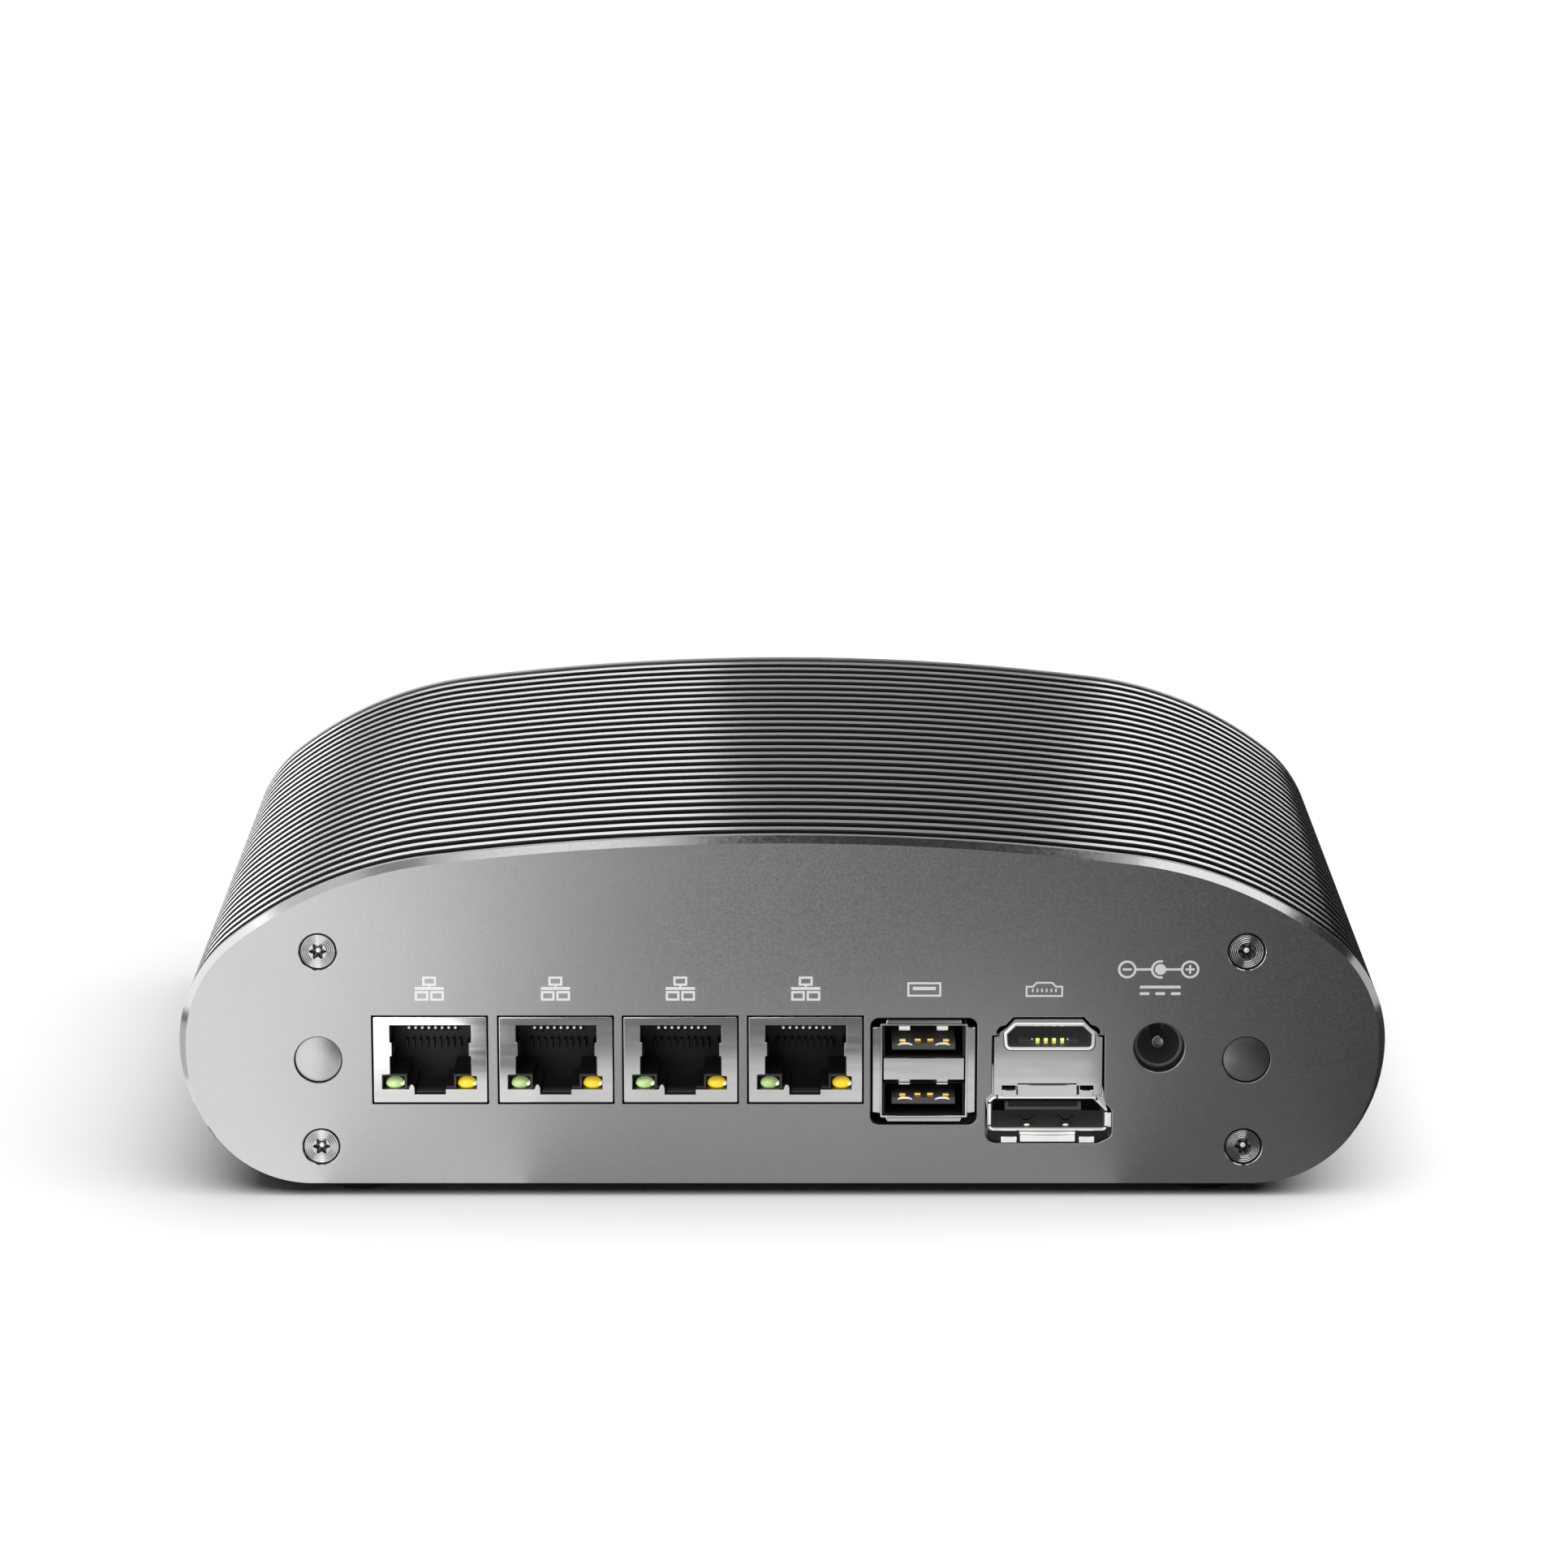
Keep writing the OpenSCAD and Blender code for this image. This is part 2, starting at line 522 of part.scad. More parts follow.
// An HDMI socket over a DisplayPort socket in one metal shell
video_y1 = face_y + 18;
module hdmi_mouth(grow) polygon([[-6.5 - grow, 22.9 - grow * 0.4], [-5.9 - grow * 0.5, 22.6 - grow],
    [5.9 + grow * 0.5, 22.6 - grow], [6.5 + grow, 22.9 - grow * 0.4], [6.5 + grow, 24.9 + grow * 0.4],
    [4.95 + grow * 0.4, 26.2 + grow], [-4.95 - grow * 0.4, 26.2 + grow], [-6.5 - grow, 24.9 + grow * 0.4]]);
module displayport_mouth(grow) polygon([[-8.4 - grow, 10.6 - grow * 0.4], [-7.9 - grow * 0.4, 10.2 - grow],
    [8.2 + grow * 0.4, 10.2 - grow], [8.7 + grow, 10.6 - grow * 0.4], [8.7 + grow, 13.4 + grow * 0.4],
    [6.8 + grow * 0.4, 15.2 + grow], [-7.9 - grow * 0.4, 15.2 + grow], [-8.4 - grow, 14.8 + grow * 0.4]]);
module video_shell() color("#c3c5c7") translate([video_x, 0, 0]) {
    difference() {
        union() {
            along_y(socket_y, video_y1) hdmi_mouth(0.35);
            along_y(socket_y, video_y1) displayport_mouth(0.35);
            along_y(socket_y + 0.3, video_y1) square_in([-8, 14.5], [8, 24.6]);
            along_y(socket_y + 0.3, video_y1) square_in([-7.2, 20], [7.2, 25.4]);
            along_y(socket_y + 0.3, video_y1) square_in([-5.4, 20], [5.4, 27.3]);
        }
        along_y(socket_y - 1, video_y1 + 1) hdmi_mouth(0);
        along_y(socket_y - 1, video_y1 + 1) displayport_mouth(0);
        along_y(socket_y + 0.8, video_y1 + 1) square_in([-7.7, 15.9], [7.7, 21.9]);
    }
    for (x = [-7.4, 7.4], y = [face_y + 6, face_y + 15])
        box([x - 0.2, y, 24.5], [x + 0.2, y + 2, board_z]);
}
module hdmi_insert() color("#161617") translate([video_x, 0, 0]) {
    along_y(video_y1 - 9, video_y1) hdmi_mouth(0);
    box([-4.4, socket_y + 1.5, 22.95], [4.4, video_y1 - 8.5, 23.75]);
}
module hdmi_contacts() color("#cfa64c") for (k = [-1.5:1:1.5])
    translate([video_x + 1.22 * k, 0, 0]) box([-0.25, socket_y + 1.9, 23.75], [0.25, video_y1 - 9, 23.95]);
module displayport_insert() color("#161617") translate([video_x, 0, 0]) {
    along_y(video_y1 - 9, video_y1) displayport_mouth(0);
    box([-5.9, socket_y + 1.6, 12.9], [5.3, video_y1 - 8.5, 13.7]);
}

dc_y1 = face_y + 16;
dc_root_r = dc_pin_r + 0.4;
module dc_jack_body() color("#1b1b1d") difference() {
    box([dc_x - 4.5, -end_y + 0.1, dc_z - 4.5], [dc_x + 4.5, dc_y1, board_z]);
    rod_y(dc_x, dc_z, 3.15, -end_y - 1, dc_y1 - 3);
    rod_y(dc_x, dc_z, dc_root_r, dc_y1 - 4, dc_y1 + 1);
    box([dc_x - 4.4, -end_y + 3, dc_z - 1.1], [dc_x - 2.9, dc_y1 - 3, dc_z + 1.1]);
}
// The pin has a thicker root where it is held in the back wall
module dc_jack_pin() color("#c9cbcd") {
    rod_y(dc_x, dc_z, dc_pin_r, -end_y + 1, dc_y1 - 2);
    rod_y(dc_x, dc_z, dc_root_r, dc_y1 - 3, dc_y1);
}
module dc_jack_spring() color("#c9cbcd")
    box([dc_x - 3.6, -end_y + 3.5, dc_z - 0.9], [dc_x - 3.3, dc_y1 - 3, dc_z + 0.9]);

// The power button slides in its panel hole. Its flange stops it from coming out and its stem
// works the switch on the edge of the main board.
module power_button() color("#a5a7aa") {
    rod_y(button_x, button_z, button_r, flange_y0, button_face_y);
    rod_y(button_x, button_z, button_r + 1.3, flange_y0, end_y);
    rod_y(button_x, button_z, 2.2, stem_y0, flange_y0 + eps);
}
module switch_plunger() color("#e4e2dc") rod_y(button_x, button_z, 1.6, switch_y1 - 3.8, stem_y0);
module power_switch() color("#2a2a2c") difference() {
    box([button_x - 3.3, switch_y1 - 6, button_z - 3], [button_x + 3.3, switch_y1, board_z]);
    rod_y(button_x, button_z, 1.7, switch_y1 - 4.6, switch_y1 + 1);
}
module light_pipes() color("#dfe6ea") for (x = led_x)
    rod_y(x, button_z, 1, switch_y1 + 0.5, button_face_y);
module status_leds() color("#cfe8d4") for (x = led_x)
    box([x - 1.5, switch_y1 - 3, button_z - 1.5], [x + 1.5, switch_y1, board_z]);

housing();
rear_panel();
front_panel();
bottom_cover();
rear_panel_screws();
front_panel_screws();
bottom_cover_screws();
rubber_feet();
aerial_plug_left();
aerial_plug_right();
main_board();
board_screws();
processor();
thermal_pad();
heat_spreader();
spreader_screws();
power_chokes();
board_capacitors();
lan_controllers();
firmware_chip();
memory_slot();
memory_module();
memory_chips();
ssd_slot();
ssd_board();
ssd_chips();
ssd_standoff();
ssd_screw();
battery_holder();
backup_battery();
lan_shield_1();
lan_shield_2();
lan_shield_3();
lan_shield_4();
lan_insert_1();
lan_insert_2();
lan_insert_3();
lan_insert_4();
lan_contacts_1();
lan_contacts_2();
lan_contacts_3();
lan_contacts_4();
link_leds();
activity_leds();
usb_shell();
usb_insert();
usb_contacts();
video_shell();
hdmi_insert();
hdmi_contacts();
displayport_insert();
dc_jack_body();
dc_jack_pin();
dc_jack_spring();
power_button();
switch_plunger();
power_switch();
light_pipes();
status_leds();
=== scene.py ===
"""Looks of a fanless mini computer: arched finned housing, bevelled end panels and a row of sockets.

Shapes are worked out in millimetres and written to the meshes in metres. x is to the right when the
sockets face the viewer, y runs from the sockets to the power button, z is up.
"""

import math

import bmesh
import bpy
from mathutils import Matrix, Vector
from mathutils.geometry import tessellate_polygon


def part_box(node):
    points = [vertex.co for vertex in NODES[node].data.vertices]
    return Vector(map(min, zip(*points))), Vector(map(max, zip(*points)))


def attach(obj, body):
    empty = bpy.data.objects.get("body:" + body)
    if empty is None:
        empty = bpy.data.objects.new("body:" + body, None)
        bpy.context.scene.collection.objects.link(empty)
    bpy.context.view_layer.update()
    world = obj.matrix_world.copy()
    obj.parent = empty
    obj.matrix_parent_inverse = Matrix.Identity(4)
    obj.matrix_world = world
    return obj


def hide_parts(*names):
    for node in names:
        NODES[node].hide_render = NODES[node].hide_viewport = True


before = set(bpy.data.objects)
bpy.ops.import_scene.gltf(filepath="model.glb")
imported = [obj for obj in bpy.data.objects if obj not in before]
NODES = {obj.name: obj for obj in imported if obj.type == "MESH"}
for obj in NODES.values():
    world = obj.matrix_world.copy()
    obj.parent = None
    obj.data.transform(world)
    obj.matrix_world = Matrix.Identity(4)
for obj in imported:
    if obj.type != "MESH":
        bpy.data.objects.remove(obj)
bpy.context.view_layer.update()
MM = 0.001


def box_mm(node):
    """Lowest and highest corner of a CAD node, in millimetres."""
    low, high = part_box(node)
    return [c / MM for c in low], [c / MM for c in high]


# ---------------------------------------------------------------- places, all read from the frame

HOUSING_LOW, HOUSING_HIGH = box_mm("housing")
WIDTH = HOUSING_HIGH[0] - HOUSING_LOW[0]
TOP = HOUSING_HIGH[2]
FOOT_H = HOUSING_LOW[2]
END_Y = HOUSING_HIGH[1]
FACE = box_mm("rear_panel")[0][1]
BACK = box_mm("front_panel")[1][1]
PANEL_T = -END_Y - FACE
BEVEL = 1.0
LOW_BEVEL = 0.35        # its width below the flanks
PRINT_T = 0.02          # thickness of the printed signs on the socket panel

SCREW_R = 2.65
SCREW_SUNK = 0.15
SCREWS_LOW, SCREWS_HIGH = box_mm("rear_panel_screws")
SCREW_X = SCREWS_HIGH[0] - SCREW_R
SCREW_Z = (SCREWS_LOW[2] + SCREW_R, SCREWS_HIGH[2] - SCREW_R)
COVER_LOW, COVER_HIGH = box_mm("bottom_cover")
COVER_T = 2.5
FOOT_R = 5.5
FEET_HIGH = box_mm("rubber_feet")[1]
BRACKET_HALF = 37.5
BRACKET_HOLE_R = 1.65

LAN = [box_mm(f"lan_shield_{i}") for i in (1, 2, 3, 4)]
LAN_X = [(low[0] + high[0]) / 2 for low, high in LAN]
LAN_HALF = (LAN[0][1][0] - LAN[0][0][0]) / 2
LAN_Z0 = LAN[0][0][2]
LAN_Z1 = LAN[0][1][2]
SOCKET_Y = LAN[0][0][1]
LAN_Y1 = LAN[0][1][1]
SLIT = 0.25

USB_LOW, USB_HIGH = box_mm("usb_shell")
USB_X = (USB_LOW[0] + USB_HIGH[0]) / 2
VIDEO_LOW, VIDEO_HIGH = box_mm("video_shell")
VIDEO_X = VIDEO_LOW[0] + 8.75
PIN_LOW, PIN_HIGH = box_mm("dc_jack_pin")
JACK_LOW, JACK_HIGH = box_mm("dc_jack_body")
DC_X = (PIN_LOW[0] + PIN_HIGH[0]) / 2
DC_Z = (PIN_LOW[2] + PIN_HIGH[2]) / 2
PLUG_LOW, PLUG_HIGH = box_mm("aerial_plug_right")
PLUG_R = (PLUG_HIGH[0] - PLUG_LOW[0]) / 2 - 0.9
PLUG_X = (PLUG_LOW[0] + PLUG_HIGH[0]) / 2
PLUG_Z = (PLUG_LOW[2] + PLUG_HIGH[2]) / 2
BUTTON_LOW, BUTTON_HIGH = box_mm("power_button")
BUTTON_X = (BUTTON_LOW[0] + BUTTON_HIGH[0]) / 2
BUTTON_Z = (BUTTON_LOW[2] + BUTTON_HIGH[2]) / 2
BUTTON_R = (BUTTON_HIGH[0] - BUTTON_LOW[0]) / 2 - 1.3
PIPES_LOW, PIPES_HIGH = box_mm("light_pipes")
PIPE_X = (PIPES_LOW[0] + 1, PIPES_HIGH[0] - 1)

# ---------------------------------------------------------------- the cross-section

TURN = (0, 7.21, 38.44, 90, 126.77, 180)    # degrees from straight up where each arc ends
ROOF_R = 414
SHOULDER_R = 59.3
FLANK_R = 24.4
ARC_STEPS = (9, 14, 16, 9, 20)
FLANK_ARC = 3           # number of the arc below the widest point, the first being 0
WALL = 5.6              # roof of the cavity, below the fins' crests
FIN_COUNT = 27
FIN_T = 2.1
FIN_DEPTH = 3
FIN_PITCH = (BACK - FACE - PANEL_T) / (FIN_COUNT + 1)
FIN_FOOT = 4.3          # height above the flat bottom at which the grooves run out
FIN_RUN = 4.5           # height over which they do
BOSS_R = 3.6            # of the screw channels
DRILL_R = 1.55
DRILL_DEPTH = 13
SHEET = 0.3             # thickness of the sockets' sheet metal


def sin(degrees):
    return math.sin(math.radians(degrees))


def cos(degrees):
    return math.cos(math.radians(degrees))


def arcs():
    """Centre and radius of the five arcs from the middle of the roof to the flat bottom."""
    s1, s2, c1, c2 = sin(TURN[1]), sin(TURN[2]), cos(TURN[1]), cos(TURN[2])
    side_r = (WIDTH / 2 - ROOF_R * s1 - SHOULDER_R * (s2 - s1)) / (1 - s2)
    widest = TOP - ROOF_R * (1 - c1) - SHOULDER_R * (c1 - c2) - side_r * c2
    s4, c4 = sin(TURN[4]), cos(TURN[4])
    base_r = (widest - FOOT_H + FLANK_R * c4) / (1 + c4)
    side = (WIDTH / 2 - side_r, widest)
    shoulder = (side[0] - (SHOULDER_R - side_r) * s2, side[1] - (SHOULDER_R - side_r) * c2)
    roof = (shoulder[0] - (ROOF_R - SHOULDER_R) * s1, shoulder[1] - (ROOF_R - SHOULDER_R) * c1)
    flank = (WIDTH / 2 - FLANK_R, widest)
    base = (flank[0] + (FLANK_R - base_r) * s4, flank[1] + (FLANK_R - base_r) * c4)
    radii = (ROOF_R, SHOULDER_R, side_r, FLANK_R, base_r)
    return list(zip((roof, shoulder, side, flank, base), radii))


ARCS = arcs()


def section(inset, steps=ARC_STEPS, less_below=0.0):
    """The outline from the right edge of the flat bottom, over the roof, to its left edge.
    inset is a number, or a function of the height of the point on the outermost outline.
    It shrinks along the flank arc, and below it is smaller by less_below."""
    right = []
    for i, ((cx, cz), r) in enumerate(ARCS):
        for k in range(0 if i == 0 else 1, steps[i] + 1):
            a = TURN[i] + (TURN[i + 1] - TURN[i]) * k / steps[i]
            depth = inset(cz + r * cos(a)) if callable(inset) else inset
            depth -= less_below * min(max(i - FLANK_ARC + k / steps[i], 0), 1)
            right.append((cx + (r - depth) * sin(a), cz + (r - depth) * cos(a)))
    return right[::-1] + [(-x, z) for x, z in right[1:]]


# ---------------------------------------------------------------- flat loops

def bow(r, start, end, n, at=(0, 0), rise=None):
    """Points from angle start to angle end. rise is the second radius of an oval."""
    angles = [start + (end - start) * k / n for k in range(n + 1)]
    return [(at[0] + r * cos(a), at[1] + (rise or r) * sin(a)) for a in angles]


def circle(r, n=64, at=(0, 0)):
    return bow(r, 0, 360, n, at)[:-1]


def corners(x0, z0, x1, z1):
    return [(x0, z0), (x1, z0), (x1, z1), (x0, z1)]


def fillet(points, radius, n=5):
    """The same loop with round corners. radius is one number, or one for each corner."""
    out = []
    for i, p in enumerate(points):
        r = radius[i] if isinstance(radius, (list, tuple)) else radius
        here = Vector(p)
        before = Vector(points[i - 1]) - here
        after = Vector(points[(i + 1) % len(points)]) - here
        lim = 0.49 * min(before.length, after.length)
        before.normalize()
        after.normalize()
        half = before.angle(after) / 2
        reach = min(r / math.tan(half), lim) if r and half < math.pi / 2 - 0.01 else 0
        if reach < 1e-4:
            out.append(tuple(here))
            continue
        start = here + before * reach
        end = here + after * reach
        centre = here + (before + after).normalized() * (reach / math.cos(half))
        a = start - centre
        b = end - centre
        sweep = a.angle_signed(b)
        for k in range(n + 1):
            t = -sweep * k / n
            out.append((
                centre.x + a.x * math.cos(t) - a.y * math.sin(t),
                centre.y + a.x * math.sin(t) + a.y * math.cos(t)))
    return out


def rect(x0, z0, x1, z1, r=0.0, n=5):
    return fillet(corners(x0, z0, x1, z1), r, n) if r else corners(x0, z0, x1, z1)


def area(loop):
    return sum(a[0] * b[1] - b[0] * a[1] for a, b in zip(loop, loop[1:] + loop[:1])) / 2


def grow(loop, d):
    """The loop moved outwards by d, point for point."""
    turn = 1 if area(loop) > 0 else -1
    out = []
    for i, p in enumerate(loop):
        a = Vector(p) - Vector(loop[i - 1])
        b = Vector(loop[(i + 1) % len(loop)]) - Vector(p)
        na = Vector((a.y, -a.x)).normalized() * turn
        nb = Vector((b.y, -b.x)).normalized() * turn
        mid = (na + nb).normalized()
        out.append(tuple(Vector(p) + mid * (d / max(0.4, mid.dot(na)))))
    return out


def moved(loop, x, z):
    return [(p[0] + x, p[1] + z) for p in loop]


# ---------------------------------------------------------------- solids from loops

def from_front(x=0.0, z=0.0, y=0.0):
    """Places (u, v, depth) on a face that looks towards -y."""
    return lambda u, v, t: (x + u, y + t, z + v)


def from_back(x=0.0, z=0.0, y=0.0):
    """Places (u, v, depth) on a face that looks towards +y."""
    return lambda u, v, t: (x - u, y - t, z + v)


def from_below(x=0.0, y=0.0, z=0.0):
    """Places (u, v, depth) on a face that looks down."""
    return lambda u, v, t: (x + u, y + v, z + t)


class Shape:
    """Closed shells in millimetres. Each face carries the number of its material. Loops lie on the
    face that place stands for."""

    def __init__(self, place=None):
        self.place = place
        self.points = []
        self.faces = []
        self.skins = []

    def at(self, place):
        """The same shape, with another place for what follows."""
        self.place = place
        return self

    def spread(self, loop, t):
        """The points of a loop at depth t."""
        return [self.place(u, v, t) for u, v in loop]

    def put(self, points, faces, skin=0):
        n = len(self.points)
        self.points += points
        self.faces += [[n + i for i in f] for f in faces]
        self.skins += [skin] * len(faces)

    def strip(self, rings, skin=0, closed=True):
        """Quads between each ring of points and the next."""
        n = len(rings[0])
        last = n if closed else n - 1
        faces = [
            (j * n + i, j * n + (i + 1) % n, (j + 1) * n + (i + 1) % n, (j + 1) * n + i)
            for j in range(len(rings) - 1) for i in range(last)]
        self.put([p for ring in rings for p in ring], faces, skin)

    def cap(self, loops, skin=0):
        """A flat face. The first loop is its edge and the others are holes."""
        flat = [[Vector(p) for p in loop] for loop in loops]
        self.put([p for loop in loops for p in loop], tessellate_polygon(flat), skin)

    def wall(self, steps, skin=0):
        """The sides through (loop, depth) steps."""
        self.strip([self.spread(loop, t) for loop, t in steps], skin)

    def face(self, t, loops, skin=0):
        """A flat face at depth t. The first loop is its edge and the others are holes."""
        self.cap([self.spread(loop, t) for loop in loops], skin)

    def plate(self, outer, holes=(), skins=(0, 0, 0)):
        """outer and each hole are lists of (loop, depth), front to back. A hole whose last step is
        None is blind and gets a floor. skins are those of the faces, the edges and the holes."""
        through = [h for h in holes if h[-1]]
        self.face(outer[0][1], [outer[0][0]] + [h[0][0] for h in holes], skins[0])
        self.face(outer[-1][1], [outer[-1][0]] + [h[-1][0] for h in through], skins[0])
        self.wall(outer, skins[1])
        for h in holes:
            steps = [step for step in h if step]
            self.wall(steps, skins[2])
            if not h[-1]:
                self.face(steps[-1][1], [steps[-1][0]], skins[2])

    def prism(self, loop, t0, t1, edge=0.0, skin=0):
        """A loop pushed from depth t0 to t1, with its two rims chamfered by edge."""
        steps = [(loop, t0), (loop, t1)]
        if edge:
            thin = grow(loop, -edge)
            steps = [(thin, t0), (loop, t0 + edge), (loop, t1 - edge), (thin, t1)]
        self.plate(steps, skins=(skin, skin, skin))

    def bar(self, x0, z0, x1, z1, t0, t1, edge=0.0, skin=0):
        """A box with chamfered rims between two corners, from depth t0 to t1."""
        self.prism(corners(x0, z0, x1, z1), t0, t1, edge, skin)

    def lathe(self, profile, n=64, skin=0):
        """(radius, depth) pairs turned about the axis of place, from one end to the other."""
        self.wall([(circle(max(r, 1e-6), n), t) for r, t in profile], skin)

    def wire(self, u, path, half_w, half_t, skin=0):
        """A flat strip that follows (depth, height) points at u. half_w and half_t are half its
        width and half its thickness."""
        path = [self.place(u, v, t) for t, v in path]
        rings = []
        for i, p in enumerate(path):
            a = Vector(path[max(i - 1, 0)])
            b = Vector(path[min(i + 1, len(path) - 1)])
            along = (b - a).normalized()
            up = Vector((0, -along.z, along.y)) * half_t
            side = Vector((half_w, 0, 0))
            here = Vector(p)
            rings.append([tuple(here - side - up), tuple(here + side - up),
                          tuple(here + side + up), tuple(here - side + up)])
        self.strip(rings, skin)
        self.cap([rings[0]], skin)
        self.cap([rings[-1]], skin)


def weigh(obj):
    """Shading that follows the large faces."""
    mod = obj.modifiers.new("normals", "WEIGHTED_NORMAL")
    mod.keep_sharp = True
    mod.weight = 60


def piece(name, shape, skins, node, smooth, body="computer"):
    """Makes the object that stands for a CAD node: merges its shells' shared points, turns its faces
    outwards, keeps edges sharper than smooth degrees and lets it ride on its body."""
    mesh = bpy.data.meshes.new(name)
    bm = bmesh.new()
    verts = [bm.verts.new(Vector(p) * MM) for p in shape.points]
    for f, s in zip(shape.faces, shape.skins):
        if len(set(f)) < 3:
            continue
        face = bm.faces.new([verts[i] for i in f])
        face.material_index = s
    bmesh.ops.remove_doubles(bm, verts=bm.verts, dist=2e-7)
    bmesh.ops.dissolve_degenerate(bm, edges=bm.edges, dist=1e-8)
    bmesh.ops.recalc_face_normals(bm, faces=bm.faces)
    bm.to_mesh(mesh)
    bm.free()
    mesh.shade_smooth()
    mesh.set_sharp_from_angle(angle=math.radians(smooth))
    for s in skins:
        mesh.materials.append(s)
    obj = bpy.data.objects.new(name, mesh)
    bpy.context.scene.collection.objects.link(obj)
    weigh(obj)
    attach(obj, body)
    if node:
        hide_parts(node)


# ---------------------------------------------------------------- materials

def skin(name, colour, rough, metal=0.0, grain=(2500, 0.004), mottle=0.05, patch=45, spread=0.06,
         stretch=(1, 1, 1), glow=0.0, coat=0.0, clear=0.0, speckle=0.0):
    """A procedural material. grain is (features per metre, height in mm), mottle the strength of the
    colour variation, patch its features per metre, spread the change in roughness."""
    mat = bpy.data.materials.new(name)
    mat.use_nodes = True
    nodes, links = mat.node_tree.nodes, mat.node_tree.links
    bsdf = nodes["Principled BSDF"]
    where = nodes.new("ShaderNodeTexCoord")
    turn = nodes.new("ShaderNodeMapping")
    turn.inputs["Scale"].default_value = stretch
    links.new(where.outputs["Object"], turn.inputs["Vector"])

    def noise(scale, detail, source):
        n = nodes.new("ShaderNodeTexNoise")
        n.inputs["Scale"].default_value = scale
        n.inputs["Detail"].default_value = detail
        links.new(source, n.inputs["Vector"])
        return n.outputs["Fac"]

    def remap(value, low, high):
        n = nodes.new("ShaderNodeMapRange")
        n.inputs["From Min"].default_value = 0.25
        n.inputs["From Max"].default_value = 0.75
        n.inputs["To Min"].default_value = low
        n.inputs["To Max"].default_value = high
        links.new(value, n.inputs["Value"])
        return n.outputs["Result"]

    broad = noise(patch, 3.0, where.outputs["Object"])
    fine = noise(grain[0], 4.0, turn.outputs["Vector"])
    shade = remap(broad, 1 - mottle, 1 + mottle)
    if speckle:
        both = nodes.new("ShaderNodeMath")
        both.operation = "MULTIPLY"
        links.new(shade, both.inputs[0])
        links.new(remap(fine, 1 - speckle, 1 + speckle), both.inputs[1])
        shade = both.outputs["Value"]
    tint = nodes.new("ShaderNodeVectorMath")
    tint.operation = "SCALE"
    tint.inputs[0].default_value = colour
    links.new(shade, tint.inputs["Scale"])
    links.new(tint.outputs["Vector"], bsdf.inputs["Base Color"])
    links.new(remap(fine, max(rough - spread, 0.03), min(rough + spread, 1)), bsdf.inputs["Roughness"])
    bump = nodes.new("ShaderNodeBump")
    bump.inputs["Strength"].default_value = 1.0
    bump.inputs["Distance"].default_value = grain[1] * MM
    links.new(fine, bump.inputs["Height"])
    links.new(bump.outputs["Normal"], bsdf.inputs["Normal"])
    bsdf.inputs["Metallic"].default_value = metal
    bsdf.inputs["Coat Weight"].default_value = coat
    bsdf.inputs["Transmission Weight"].default_value = clear
    if glow:
        links.new(tint.outputs["Vector"], bsdf.inputs["Emission Color"])
        bsdf.inputs["Emission Strength"].default_value = glow
    return mat


BLASTED = skin("blasted_aluminium", (0.50, 0.50, 0.505), 0.40, 1.0, (3200, 0.010), 0.03, 30, 0.05,
               speckle=0.05)
FINNED = skin("machined_fins", (0.56, 0.56, 0.565), 0.2, 1.0, (2600, 0.003), 0.03, 60, 0.04,
              stretch=(0.04, 1, 0.04))
# dark walls and floors of the grooves: painted shade between the fins
GROOVE_SHADE = skin("groove_walls_painted_shade", (0.045, 0.045, 0.046), 0.5, 1.0, (2600, 0.006), 0.04, 60, 0.06)
POLISHED = skin("polished_bevel", (0.72, 0.72, 0.725), 0.16, 1.0, (1800, 0.001), 0.03, 70, 0.04)
# near-black hole walls: painted shade inside the holes
HOLE_SHADE = skin("hole_walls_painted_shade", (0.016, 0.016, 0.0165), 0.6, 0.0, (2500, 0.004), 0.1, 200)
SATIN = skin("satin_aluminium", (0.47, 0.47, 0.475), 0.33, 1.0, (3000, 0.006), 0.03, 50, 0.05,
             speckle=0.03)
NICKEL = skin("nickel_shell", (0.76, 0.76, 0.755), 0.13, 1.0, (900, 0.002), 0.04, 120, 0.06,
              stretch=(0.08, 1, 1))
NICKEL_CUT = skin("nickel_edges", (0.80, 0.80, 0.79), 0.18, 1.0, (1500, 0.001))
STEEL = skin("turned_steel", (0.47, 0.47, 0.475), 0.19, 1.0, (1500, 0.001), 0.04, 300, 0.04)
# darker steel for the screws' recesses: painted shade
STEEL_SHADE = skin("screw_recess_painted_shade", (0.16, 0.16, 0.162), 0.42, 1.0, (1500, 0.004))
# painted highlight: a nickel that glows, for the glints on springs, contacts, collars, lips and screw dimples
PAINTED_GLINT = skin("nickel_painted_glint", (0.92, 0.92, 0.90), 0.22, 1.0, (1500, 0.001), 0.05, 500, 0.05, glow=0.45)
# gold that glows: painted light on the contacts deep in the shaded USB sockets
GOLD_GLOW = skin("gold_painted_glow", (0.86, 0.50, 0.12), 0.28, 1.0, (2500, 0.001), 0.2, 900, 0.05, glow=0.2)
# yellow gold that glows: painted light on the contacts inside the shaded HDMI mouth
YELLOW_GOLD_GLOW = skin("yellow_gold_painted_glow", (0.95, 0.90, 0.20), 0.28, 1.0, (2500, 0.001), 0.10, 900, 0.05, glow=0.7)
GOLD = skin("gold_plating", (0.90, 0.62, 0.20), 0.25, 1.0, (2500, 0.001), 0.06, 300)
BLACK = skin("socket_plastic", (0.012, 0.012, 0.013), 0.42, 0.0, (2800, 0.010), 0.15, 120, 0.08)
GREY_PLASTIC = skin("tongue_plastic", (0.05, 0.052, 0.053), 0.45, 0.0, (2800, 0.010), 0.12, 120)
